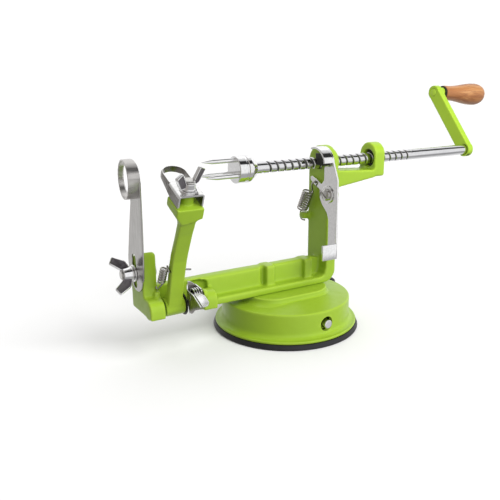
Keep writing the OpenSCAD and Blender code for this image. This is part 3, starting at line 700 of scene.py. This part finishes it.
# release lever: pressed plate, hood and thumb tab
HOOD = (-7.0, 112.3)
left = [(-24, 49.4), (-24, 86), (-23.7, 103)]
top = arc(HOOD, 11.87, 171, 97, 14)
right = [(-8.2, 117.6), (-9.2, 114), (-9.2, 101.2), (-6.4, 98.0), (-0.6, 100.75), (5.0, 102.5), (6.9, 101.5), (6.1, 99.5), (1.5, 96.7), (-4.1, 94.2), (-4.2, 88.6), (-7.2, 84.2), (-13.0, 79.2), (-15.0, 74.4), (-15.2, 49.4)]
outline = [*left, *[tuple(p) for p in top], *right]
rads = [0.8, 14, 8] + [0] * len(top) + [1.0, 2.0, 1.6, 1.5, 1.5, 1.3, 1.2, 1.2, 2.0, 1.0, 3.5, 5.0, 5.0, 5.0, 0.8]
outline = fillet(outline, rads, 6)
ear_hole = arc((0.4, 98.6), 1.1, 0, 345, 23)
pivot_hole = arc((-14, 92), 3.1, 0, 348.75, 31)
lever_plate = in_yz(plate(outline, 1.5, 0.32, [ear_hole, pivot_hole]), 25.1)
roof = fillet([(18.0, 11.9), (26.55, 11.9), (26.55, 7.6), (25.15, 7.6), (25.15, 10.5), (18.0, 10.5)], [0.55, 1.7, 0.2, 0.2, 0.5, 0.45], 6, True, 0.12)


def swing(section, c, a0, a1, n, shrink=0.35):
    """(X, radius) section swung about an X axis at c, with rounded ends."""
    rings, s = [], np.asarray(section, float)
    if area2(s) < 0:
        s = s[::-1]
    step = math.degrees(shrink / 11.0)
    stops = [(a0, shrink), (a0 + step * 0.3, shrink * 0.3), (a0 + step, 0.0)] + [(a0 + (a1 - a0) * k / n, 0.0) for k in range(1, n)] + [(a1 - step, 0.0), (a1 - step * 0.3, shrink * 0.3), (a1, shrink)]
    for a, d in stops:
        q = inset(s, d) if d else s
        ca, sa = math.cos(math.radians(a)), math.sin(math.radians(a))
        rings.append([(x, c[0] + r * ca, c[1] + r * sa) for x, r in q])
    return loft(rings)


hood = swing(roof, HOOD, 66, 172, 40)
tab = fillet([(13.4, -25.2), (26.55, -25.2), (26.55, -19.5), (25.15, -19.5), (25.15, -23.7), (13.4, -23.7)], [0.6, 1.8, 0.2, 0.2, 0.5, 0.6], 6, True, 0.12)
tab = put(tr(0, 0, 48.9), plate(tab, 10.9, 0.35))
piece("release_plate", [(lever_plate, 0), (hood, 0), (tab, 0)], [CHROME], "release", ["release_lever"])
# the half nut's near-black steel is its own dark finish, and also painted shade for the gap under the hood
nut = [(-12, 111.4)] + [tuple(p) for p in arc((0, SCREW_Z), 4.35, 191.9, 126.7, 10)] + [(-2.6, 119.2), (-12, 119.2)]
piece("nut_jaw", [(in_yz(plate(nut, 2.7, 0.25), 22.4), 0)], [DARK], "release", ["half_nut"])

# pivot screw with a domed, slotted head
LEVER_AXIS = tr(0, -14, 92) @ ALONG_X
dome = [(3.0, 31.0), (3.0, 24.0), (4.15, 23.9), (4.2, 23.3)] + [(4.2 * math.cos(math.radians(a)), 23.2 - 1.85 * math.sin(math.radians(a))) for a in range(6, 90, 7)]
head = lathe([(0, 31.0), *dome, (0, 21.35)], 64)
screw_head = piece("pivot_screw", [(put(LEVER_AXIS, head), 0)], [FIXING], None, [])
bpy.ops.mesh.primitive_cube_add(size=1)
cutter = bpy.context.object
cutter.scale = (0.0028, 0.02, 0.0013)
cutter.location = (0.0212, -0.014, 0.092)
cutter.rotation_euler = (math.radians(34), 0, 0)
slot_cut = screw_head.modifiers.new("slot", "BOOLEAN")
slot_cut.object = cutter
slot_cut.operation = "DIFFERENCE"
slot_cut.solver = "EXACT"
bpy.context.view_layer.update()
cut_mesh = bpy.data.meshes.new_from_object(screw_head.evaluated_get(bpy.context.evaluated_depsgraph_get()))
screw_head.modifiers.clear()
screw_head.data = cut_mesh
cut_mesh.set_sharp_from_angle(angle=math.radians(30))
cut_mesh.materials.clear()
cut_mesh.materials.append(FIXING)
bpy.data.objects.remove(cutter)
dress(screw_head, "stand", ["lever_screw"])
piece("pivot_washer", [(put(LEVER_AXIS, ring_washer(3.05, 6.0, 23.95, 24.95, 0.35)), 0)], [CHROME], "stand", ["lever_washer"])

# springs, shaped between the bodies that they join and left unattached
RS_P, RS_Q = np.array([21.5, 3.9, 92.2]), np.array([21.5, 11.2, 78.0])
d = (RS_Q - RS_P) / np.linalg.norm(RS_Q - RS_P)
body_coil = coil(RS_P, RS_Q, 3.5, 8, 28)
e1 = np.array([1.0, 0, 0])
up = [(26.5, 0.4, 98.6), (24.8, 0.4, 98.7), (23.6, 0.6, 98.5), (22.8, 1.2, 97.6), RS_P - d * 4 + e1 * 1.8, RS_P + e1 * 3 - d * 1.6]
down = [RS_Q + e1 * 3 + d * 0.9, (24.3, 13.8, 76.9), (24.2, 15.7, 76.3), (24.2, 16.9, 74.6), (24.2, 16.9, 71.4), (24.2, 15.6, 69.7), (24.2, 13.6, 69.4), (24.2, 11.5, 69.5)]
path = spline([*up, body_coil[0]], 6)[:-1] + body_coil + spline([body_coil[-1], *down], 6)[1:]
ob = piece("release_coil", [(wire(path, 0.6, 12), 0)], [SPRING], None, [])
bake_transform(ob)
dress(ob, None, ["release_spring"])

AS_P, AS_Q = np.array([-98.3, -19.4, 61.2]), np.array([-98.3, -13.2, 50.4])
d = (AS_Q - AS_P) / np.linalg.norm(AS_Q - AS_P)
body_coil = coil(AS_P, AS_Q, 1.95, 6, 24)
up = [(-82.3, -21, 58.2), (-86, -21, 58.7), (-92, -21, 58.7), (-95.6, -21.2, 58.8), (-96.6, -21.4, 60.0), AS_P + e1 * 1.7 - d * 1.2]
down = [AS_Q + e1 * 1.2 + d * 1.3, AS_Q + d * 3.2, (-99.1, -9.4, 45.1), (-99.1, -7.9, 44.3), (-99.1, -6.9, 44.5), (-99.1, -6.4, 45.6)]
path = spline([*up, body_coil[0]], 6)[:-1] + body_coil + spline([body_coil[-1], *down], 6)[1:]
ob = piece("arm_coil", [(wire(path, 0.58, 12), 0)], [SPRING], None, [])
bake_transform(ob)
dress(ob, None, ["arm_spring"])

# bearing sleeve
AXLE = tr(0, 0, SCREW_Z) @ ALONG_X
piece("bearing_sleeve", [(put(AXLE, turned([(4.05, 74.2), (6.2, 74.2), (6.2, 78.8), (4.05, 78.8)], 0.45, 64)), 0)], [DARK], "sleeve", ["shaft_sleeve"])

# feed screw
half = 5.78 / 2
cross = [(-half, 0.0), (-2.2, 0.0), (-1.45, 0.0), (-1.1, 0.02), (-0.9, 0.08), (-0.76, 0.2), (-0.64, 0.42), (-0.52, 0.63), (-0.38, 0.73), (-0.2, 0.75), (0.2, 0.75), (0.38, 0.73), (0.52, 0.63), (0.64, 0.42), (0.76, 0.2), (0.9, 0.08), (1.1, 0.02), (1.45, 0.0), (2.2, 0.0)]
start = math.radians(171)
plain_a = [(4, -20.4 - half - 0.6), (4, -26.6), (3.6, -27), (0, -27)]
plain_b = [(4, -20.4 + 23 * 5.78 + half + 0.4), (4, 150), (4, 175.0), (3.9, 175.4), (2.6, 175.6), (2.6, 176.8), (2.2, 177.15), (0, 177.2)]
screw = threaded(4.0, 5.78, -20.4, 23, cross, plain_a, plain_b, 64, start - 0.0)
# the groove floor of the thread is painted near-black as shade
piece("feed_screw_rod", [(put(AXLE, s), i) for i, s in enumerate(screw)], [SCREW, GROOVE_SHADE], "screw", ["feed_screw"], 50)

# fork
piece("fork_boss", [(put(AXLE, turned([(0, -26.6), (4.0, -26.9), (5.6, -25.6), (6.2, -25.7), (8.6, -29.4), (9, -30.4), (9, -32.6), (8.5, -33.1), (8.5, -34.1), (9, -34.6), (9, -40), (0, -40)], [0, 0.1, 0.4, 0.5, 0.8, 0.5, 0.3, 0.2, 0.2, 0.3, 0.7, 0], 72, False)), 0)], [CHROME], "screw", ["fork_hub"])
tine = [(0, -36), (1.6, -36), (1.6, -55)] + [(1.6 - 1.35 * (k / 8) ** 1.25, -55 - 7.6 * k / 8) for k in range(1, 9)] + [(0.12, -62.85), (0, -63)]
tines = [(put(AXLE @ rot("z", a) @ tr(6.2, 0, 0), lathe(tine, 28)), 0) for a in (90, 210, 330)]
piece("fork_prongs", tines, [CHROME], "screw", ["fork_tines"])

# handle, pin and washer
HAXIS = HND @ ALONG_X
prof = [(3.1, 11.3), (5.0, 11.2), (5.6, 11.25), (5.95, 11.7), (6.0, 12.4), (6.0, 15.0)]
prof += [(6 + 3.05 * (0.5 - 0.5 * math.cos(math.pi * k / 26)), 17.1 + 30.6 * k / 26) for k in range(27)]
prof += [(9.05 * max(0.0, math.cos(math.radians(90 * k / 22))) ** 0.55, 47.6 + 10.4 * math.sin(math.radians(90 * k / 22))) for k in range(1, 20) if 9.05 * math.cos(math.radians(90 * k / 22)) ** 0.55 > 5.2]
prof += [(5.0, 57.93), (4.75, 57.75), (4.7, 57.4), (4.7, 52.0), (3.1, 52.0)]
piece("handle_turned", [(put(HAXIS, lathe(prof, 96, True)), 0)], [WOOD], "grip", ["handle"])
pin_end = [(0, -0.35), (2.2, -0.35), (2.75, -0.15), (3.0, 0.25), (3.0, 1.0)]
pin_rest = [(3.0, 1.0), (3.0, 52.8), (4.2, 52.8), (4.2, 53.9), (3.9, 54.5), (3.0, 54.9), (1.6, 55.1), (0, 55.15)]
piece("grip_pin", [(put(HAXIS, lathe(pin_end, 48)), 1), (put(HAXIS, lathe(pin_rest, 48)), 0)], [FIXING, LIME], "screw", ["handle_pin"])
piece("grip_washer", [(put(HAXIS, ring_washer(3.02, 5.75, 9.85, 10.85, 0.28)), 0)], [DARK], "screw", ["handle_washer"])

# peeling blade: bent channel with a horseshoe loop
deck, y0, y1 = 83.0, -2.5, 14.0


def channel(y, low, dx=0.0):
    x0, x1 = -98.7 + dx, -83.3 - dx
    o = [(x0, low), (x0, deck - dx), (x1, deck - dx), (x1, low), (x1 - 1 + dx, low), (x1 - 1 + dx, deck - 1), (x0 + 1 - dx, deck - 1), (x0 + 1 - dx, low)]
    o = fillet(o, [0.28, 1.5, 1.5, 0.28, 0.28, 0.6, 0.6, 0.28], 5, True, 0.1)
    return [(p[0], y, p[1]) for p in o]


def flange_low(y):
    return 75.2 if y < 8 else 75.2 + (y - 8) / 14.4 * 3.8


rings = [channel(y0, 75.35, 0.15), channel(y0 + 0.12, 75.22, 0.03)] + [channel(y, flange_low(y)) for y in (y0 + 0.3, 2, 6, 8, 10, 12, 13.7)] + [channel(13.9, flange_low(13.9) + 0.03, 0.03), channel(14.0, flange_low(14) + 0.15, 0.15)]
ch = loft(rings, False)
cv, cf = ch
m = len(rings[0])
cf = [q for q in cf if not (min(q) < m and max(q) >= (len(rings) - 1) * m)]
for base, flip in ((0, True), ((len(rings) - 1) * m, False)):
    for t in fill([[(cv[base + k][0], cv[base + k][2]) for k in range(m)]]):
        cf.append(tuple(base + k for k in (t[::-1] if flip else t)))
strip = [(-98.2, y) for y in (12.5, 15, 18, 20.5, 22.3)] + [(-91 - 7.2 * math.cos(math.radians(a)), 22.3 + 7.2 * math.sin(math.radians(a))) for a in range(6, 180, 6)] + [(-83.8, y) for y in (22.3, 20.5, 18, 15, 12.5)]
rings = []
sp = np.asarray(strip)
tang = np.gradient(sp, axis=0)
tang /= np.linalg.norm(tang, axis=1)[:, None]
for p, t in zip(sp, tang):
    n2 = np.array([-t[1], t[0]])
    low = flange_low(min(p[1], 22.4))
    keen = max(0.55, min(1.0, (p[1] - 20) / 4))
    w = 0.49
    o = [(-w, low), (w, low), (w, deck - 0.02 - 1.1 * keen), (w - 0.1 - 0.62 * keen, deck - 0.02), (-w + 0.02, deck - 0.02)]
    o = fillet(o, [0.22, 0.22, 0.12, 0.06, 0.1], 3)
    rings.append([(p[0] + n2[0] * a, p[1] + n2[1] * a, z) for a, z in o])
loop = loft(rings)
# the deck, the front end and the loop's top edge stay bright; the channel's sides and the loop's flanks get the darker
# steel as painted shade and painted dark reflection
bright = [max(cv[k][2] for k in q) >= deck - 1.2 or max(cv[k][1] for k in q) < y0 + 0.2 for q in cf]
shaded_sides = [q for q, b in zip(cf, bright) if not b]
deck_faces = [q for q, b in zip(cf, bright) if b]
rim = [q for q in loop[1] if min(loop[0][k][2] for k in q) > deck - 0.3]
shaded_flank = [q for q in loop[1] if min(loop[0][k][2] for k in q) <= deck - 0.3]
piece("peeler_channel", [(put(ARM, (cv, deck_faces)), 0), (put(ARM, (cv, shaded_sides)), 1), (put(ARM, (loop[0], shaded_flank)), 1), (put(ARM, (loop[0], rim)), 0)], [DECK, SIDE_SHADE_STEEL], "arm", ["peeler_blade"])

# its stud, washer and wing nut
STUD = ARM @ tr(-91, 3.5, 0)
fine5 = [(0.0, 0.0), (0.1, 0.0), (0.3, 0.32), (0.38, 0.4), (0.45, 0.4), (0.53, 0.32), (0.73, 0.0)]
stud = threaded(2.5, 0.8, 82.2, 6, fine5, [(2.5, 82.0), (2.5, 69.4), (2.2, 69.0), (0, 69.0)], [(2.5, 87.85), (2.5, 88.35), (3.0, 88.38), (3.2, 88.5), (3.25, 88.7), (3.1, 89.0), (2.6, 89.3), (1.5, 89.52), (0, 89.58)], 32, 0.0, 0.4)
# the groove floor of the thread is painted near-black as shade
piece("peeler_bolt", [(put(STUD, s), i) for i, s in enumerate(stud)], [FIXING, GROOVE_SHADE], "arm", ["peeler_stud"])
piece("peeler_ring", [(put(STUD, ring_washer(2.56, 5.0, 83.02, 83.82, 0.25)), 0)], [CHROME], "arm", ["peeler_washer"])
rims, panels = wing_nut(2.55, 4.2, 6.2, 11.6, 12.0, 4.3)
m = STUD @ tr(0, 0, 83.9) @ rot("z", 24)
piece("peeler_wings", [(put(m, s), 0) for s in rims] + [(put(m, s), 1) for s in panels], [CHROME, DARK_PANEL_METAL], "peeler_nut", ["peeler_wing_nut"])

# arm pivot pin
piece("arm_pin", [(put(tr(0, -10.5, 33) @ ALONG_X, turned([(0, -105.2), (2.5, -105.2), (2.5, -61.4), (0, -61.4)], [0, 0.4, 0.7, 0], 40, False)), 0), (put(tr(0, -10.5, 33) @ ALONG_X, ring_washer(2.52, 6.9, -83.55, -83.0, 0.2)), 1)], [FIXING, DARK], "stand", ["arm_pivot_pin"])

# thumb latch: a sheet bent round its pin, with a thumb plate, and its torsion spring
def along(table, t):
    return float(np.interp(t, [a for a, b in table], [b for a, b in table]))


left_top = [(-34.8, 38.2), (-24.1, 42.7), (-16.6, 43.55), (-15.6, 44.4), (-15.2, 46.6), (-14.7, 48.2)]
left_low = [(-34.8, 36.9), (-33.6, 36.5), (-26, 33.4), (-21.4, 29.7), (-18.2, 29.2), (-17.2, 33), (-14.7, 37.8)]
wall_top = [(-82.4, 48.3), (-81.6, 48.85), (-80.1, 48.5), (-75.9, 45.5)]
right_top = [(-22.5, 43.6), (-21.9, 44.6), (-21.2, 44.95), (-14.7, 45.5)]
right_low = [(-22.5, 38.2), (-20.8, 36.2), (-16.8, 36.0), (-14.7, 38)]
stations = [((-82.4, y), along(left_low, y), along(left_top, y)) for y in (-34.75, -34.6, -34.2, -33.6, -32, -30, -28, -26, -24.6, -24.1, -23.6, -22.4, -21.4, -20.4, -19.3, -18.2, -17.7, -17.2, -16.6, -16.1)]
for a in range(0, 91, 15):
    t = a / 90
    p = (-81.4 - math.cos(math.radians(a)), -15.7 + math.sin(math.radians(a)))
    stations.append((p, 35.6 + 2.6 * t, 44.1 + (48.8 - 44.1) * min(1.0, 1.6 * t)))
stations += [((x, -14.7), 38.2, along(wall_top, x)) for x in (-80.9, -80.1, -79.2, -78.2, -77.4)]
for a in range(90, -1, -15):
    t = (90 - a) / 90
    stations.append(((-76.95 + math.cos(math.radians(a)), -15.7 + math.sin(math.radians(a))), 38.2 - 0.2 * t, 46.2 - 0.75 * t))
stations += [((-75.95, y), along(right_low, y), along(right_top, y)) for y in (-16.4, -16.8, -17.8, -18.8, -19.8, -20.8, -21.2, -21.6, -21.9, -22.2, -22.4, -22.5)]
sp = np.asarray([p for p, _, _ in stations])
tang = np.gradient(sp, axis=0)
tang /= np.linalg.norm(tang, axis=1)[:, None]
rings = []
for i, ((x, y), low, high) in enumerate(stations):
    n2 = np.array([-tang[i][1], tang[i][0]])
    w = 0.42 if 0 < i < len(stations) - 1 else 0.25
    o = []
    for cx, cz, a0 in ((-1, low, 180), (1, low, 270), (1, high, 0), (-1, high, 90)):
        sz = 1 if cz == low else -1
        o += [(cx * (w - 0.22) + 0.22 * math.cos(math.radians(a0 + 22.5 * k)), cz + sz * 0.22 + 0.22 * math.sin(math.radians(a0 + 22.5 * k))) for k in range(5)]
    rings.append([(x + n2[0] * a, y + n2[1] * a, z) for a, z in o])
sheet = loft(rings)
# only the top edge of the bent sheet stays plated; its walls get the dark steel as painted shade
rim_faces = [q for q in sheet[1] if len(q) == 4 and all(10 <= k % 20 <= 19 for k in q)]
shaded_wall_faces = [q for q in sheet[1] if not (len(q) == 4 and all(10 <= k % 20 <= 19 for k in q))]
latch = [((sheet[0], shaded_wall_faces), 1), ((sheet[0], rim_faces), 0)]
THUMB = tr(0, -22.6, 43.35) @ rot("z", 180) @ rot("x", -22.45)  # local (-X, distance down the plate, height over it)
thumb = fillet([(81.25, 0.3), (81.25, 12.5), (78.9, 12.45), (76.9, 12.0), (75.45, 10.0), (75.4, 3.6), (77.0, 0.9), (79.8, 0.2)], [0.5, 0.5, 0.8, 0.9, 1.0, 2.2, 2.2, 1.0], 6)
latch.append((put(THUMB @ tr(0, 0, -1.35), plate(thumb, 1.0, 0.32)), 0))
# a dark strip under the thumb plate's left edge: painted shade
latch.append((put(THUMB @ tr(0, 0, -1.75), plate([(82.0, 0.3), (82.0, 12.3), (80.9, 12.2), (80.9, 0.5)], 0.5, 0.1)), 1))
piece("thumb_latch", latch, [CHROME, GROUND_AND_SHADE], "latch", ["arm_latch"])
LPIN = tr(0, -18.9, 40) @ ALONG_X
rivet = [(0, -83.5), (1.3, -83.46), (2.2, -83.34), (2.65, -83.12), (2.7, -82.9), (1.55, -82.85), (1.55, -76.6), (1.9, -76.4), (1.9, -71.9), (1.7, -71.7), (0, -71.7)]
piece("latch_rivet", [(put(LPIN, lathe(rivet, 40)), 0)], [GROUND_AND_SHADE], "stand", ["latch_pin"])
turn = [np.array([-81.4 + 4.45 * k / 144, -19.2 + 3.6 * math.cos(math.radians(-90 + 1080 * k / 144)), 41.4 + 3.6 * math.sin(math.radians(-90 + 1080 * k / 144))]) for k in range(145)]
path = spline([(-80.4, -28, 38.9), (-80.9, -23, 37.5), turn[0]], 8)[:-1] + turn + spline([turn[-1], (-76.95, -15.4, 37), (-76.95, -12.8, 36.7)], 6)[1:]
piece("latch_coil", [(wire(path, 0.40, 12), 0)], [CHROME], "latch", ["latch_spring"])

# slicing blade and coring ring
blade = [(-11.9, 112.3)] + [tuple(p) for p in arc((0, SCREW_Z), 11.62, 186, 297, 22)] + [(5.8, 97), (11.4, 79), (16.4, 60), (15, 50), (11, 44.6), (5, 41.6), (-1, 42.4), (-6, 46), (-9, 52), (-10.2, 60), (-11.4, 80), (-12.1, 101.6)]
blade = fillet(blade, [0] + [0] * 23 + [12, 30, 14, 8, 7, 7, 7, 7, 9, 14, 30, 30], 6)
slot_hole = arc((5.5, 46.6), 3.3, 180, 360, 14) + arc((5.5, 62), 3.3, 0, 180, 14)
piece("slicer", [(in_yz(plate(blade, 0.98, 0.28, [slot_hole]), -108.2), 0)], [BLADE], "stand", ["slicer_blade"])
rings = []
for k in range(120):
    a = 2 * math.pi * k / 120
    y = 11.8 * math.cos(a)
    xl = -114.7 + (y + 13) / 26 * 1.9
    xr = -107.22 - max(0.0, y + 8) / 21 * 2.08
    o = fillet([(xl, 10.8), (xr - 0.9, 10.8), (xr, 11.55), (xr - 0.12, 11.8), (xl, 11.8)], [0.3, 0.2, 0.08, 0.1, 0.3], 4, True, 0.1)
    rings.append([(p[0], p[1] * math.cos(a), SCREW_Z + p[1] * math.sin(a)) for p in o])
piece("corer", [(loft(rings, False), 0)], [RING], "stand", ["coring_ring"])

# its bolt, washer and wing nut
BOLT = tr(0, 5.5, 53) @ ALONG_X @ rot("x", 180)  # heights run along -X
fine6 = [(0.0, 0.0), (0.12, 0.0), (0.38, 0.42), (0.47, 0.5), (0.55, 0.5), (0.64, 0.42), (0.9, 0.0)]
cap = [(3.0, 105.5), (3.0, 98.0), (5.0, 98.0), (5.35, 97.6), (5.3, 96.6), (4.6, 95.6), (3.2, 94.9), (1.6, 94.63), (0, 94.6)]
bolt = threaded(3.0, 1.0, 106.0, 10, fine6, cap, [(3.0, 116.7), (2.6, 117.15), (0, 117.2)], 40, 0.0, 0.4)
# the groove floor of the thread is painted near-black as shade
piece("slicer_bolt", [(put(BOLT, s), i) for i, s in enumerate(bolt)], [FIXING, GROOVE_SHADE], "stand", ["blade_bolt"])
piece("slicer_washer", [(put(BOLT, ring_washer(3.06, 5.4, 108.24, 109.4, 0.3)), 0)], [CHROME], "stand", ["blade_washer"])
rims, panels = wing_nut(3.06, 4.6, 6.4, 12.9, 13.4)
m = tr(-109.5, 5.5, 53) @ rot("x", 54) @ rot("y", -90) @ rot("z", 90)
piece("slicer_wings", [(put(m, s), 0) for s in rims] + [(put(m, s), 1) for s in panels], [CHROME, DARK_PANEL_METAL], "blade_nut", ["blade_wing_nut"])

# CAD nodes that stay as they are
for node, mat, slot in (("suction_plunger", FIXING, "fixings"), ("suction_cam", FIXING, "fixings"), ("frame_screws", FIXING, "fixings"), ("crank_set_screw", DARK, "dark_steel")):
    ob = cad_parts[node]
    if ob.material_slots:
        for s in ob.material_slots:
            s.material = mat
    else:
        ob.data.materials.append(mat)

# ---------------------------------------------------------------- stage, light and camera
me = bpy.data.meshes.new("floor")
me.from_pydata([(-30, -30, 0), (30, -30, 0), (30, 30, 0), (-30, 30, 0)], [], [(0, 1, 2, 3)])
floor = bpy.data.objects.new("floor", me)
floor.location.z = -0.0002
scene.collection.objects.link(floor)
m, nt, b, co = begin("floor")
to(nt, ramp(nt, noise(nt, co, 3, 2), [(0.3, (0.77, 0.77, 0.77)), (0.7, (0.79, 0.79, 0.79))]), b, "Base Color")
b.inputs["Roughness"].default_value = 0.9
b.inputs["Specular IOR Level"].default_value = 0.1
me.materials.append(m)
floor.visible_diffuse = floor.visible_glossy = floor.visible_shadow = False

world = bpy.data.worlds.new("studio")
scene.world = world
world.use_nodes = True
nt = world.node_tree
bg = nt.nodes["Background"]
co = nt.nodes.new("ShaderNodeTexCoord").outputs["Generated"]
sep = nt.nodes.new("ShaderNodeSeparateXYZ")
nt.links.new(co, sep.inputs[0])
back = nt.nodes.new("ShaderNodeMath")
back.operation = "MULTIPLY"
back.inputs[1].default_value = -1
nt.links.new(sep.outputs["Y"], back.inputs[0])
around = nt.nodes.new("ShaderNodeMath")  # angle about X, from the front over the top to the back
around.operation = "ARCTAN2"
nt.links.new(sep.outputs["Z"], around.inputs[0])
nt.links.new(back.outputs[0], around.inputs[1])
stops = [(-180, 0.8), (-165, 0.76), (-95, 0.64), (-72, 0.34), (-36, 0.32), (-23, 0.78), (0, 0.8), (43, 0.8), (48, 0.024), (74, 0.024), (82, 0.52), (100, 0.66), (110, 0.95), (118, 1.0), (140, 0.9), (180, 0.8)]
sky = ramp(nt, span(nt, around.outputs[0], 0.0, 1.0, -math.pi, math.pi), [((a + 180) / 360, (v, v, v)) for a, v in stops])
left_side = mix(nt, span(nt, sep.outputs["Y"], 0.0, 1.0, -0.3, 0.5), (0.30, 0.282, 0.265), (0.36, 0.352, 0.342))
sky = mix(nt, span(nt, sep.outputs["X"], 1.0, 0.0, -0.7, -0.15), sky, left_side)
seen = nt.nodes.new("ShaderNodeLightPath")  # a plain white backdrop
sky = mix(nt, seen.outputs["Is Camera Ray"], sky, (1.0, 1.0, 1.0))
nt.links.new(sky, bg.inputs["Color"])
bg.inputs["Strength"].default_value = 1.25


def sun(name, azimuth, elevation, angle, strength, colour=(1, 1, 1)):
    d = bpy.data.lights.new(name, "SUN")
    d.angle = math.radians(angle)
    d.energy = strength
    d.color = colour
    o = bpy.data.objects.new(name, d)
    a, e = math.radians(azimuth), math.radians(elevation)
    o.rotation_euler = Vector((math.cos(a) * math.cos(e), math.sin(a) * math.cos(e), math.sin(e))).to_track_quat("Z", "Y").to_euler()
    o.visible_glossy = False
    scene.collection.objects.link(o)


sun("key", -62, 42, 40, 2.6)
sun("fill", -108, 30, 60, 0.9)
spot = bpy.data.lights.new("side", "SPOT")
spot.energy = 9
spot.spot_size = math.radians(28)
spot.spot_blend = 1.0
spot.shadow_soft_size = 0.08
o = bpy.data.objects.new("side", spot)
o.location = (-0.12, -0.30, 0.30)
o.rotation_euler = (Vector(o.location) - Vector((0.17, 0.02, 0.13))).to_track_quat("Z", "Y").to_euler()
o.visible_glossy = False
scene.collection.objects.link(o)

cam = bpy.data.cameras.new("camera")
cam.sensor_fit = "HORIZONTAL"
cam.sensor_width = 36
cam.lens = 43.50
cam.clip_start = 0.01
cam_ob = bpy.data.objects.new("camera", cam)
fwd = Vector((0.48276, 0.83354, -0.26861)).normalized()
r0 = Vector((0.8653, -0.5012, 0)).normalized()
u0 = r0.cross(fwd).normalized()
roll = math.radians(-0.5)
right_v = r0 * math.cos(roll) + u0 * math.sin(roll)
up_v = -r0 * math.sin(roll) + u0 * math.cos(roll)
cam_ob.matrix_world = Matrix(((right_v.x, up_v.x, -fwd.x, -0.22518), (right_v.y, up_v.y, -fwd.y, -0.33938), (right_v.z, up_v.z, -fwd.z, 0.16670), (0, 0, 0, 1)))
scene.collection.objects.link(cam_ob)
scene.camera = cam_ob
scene.view_settings.view_transform = "Standard"
scene.view_settings.look = "None"
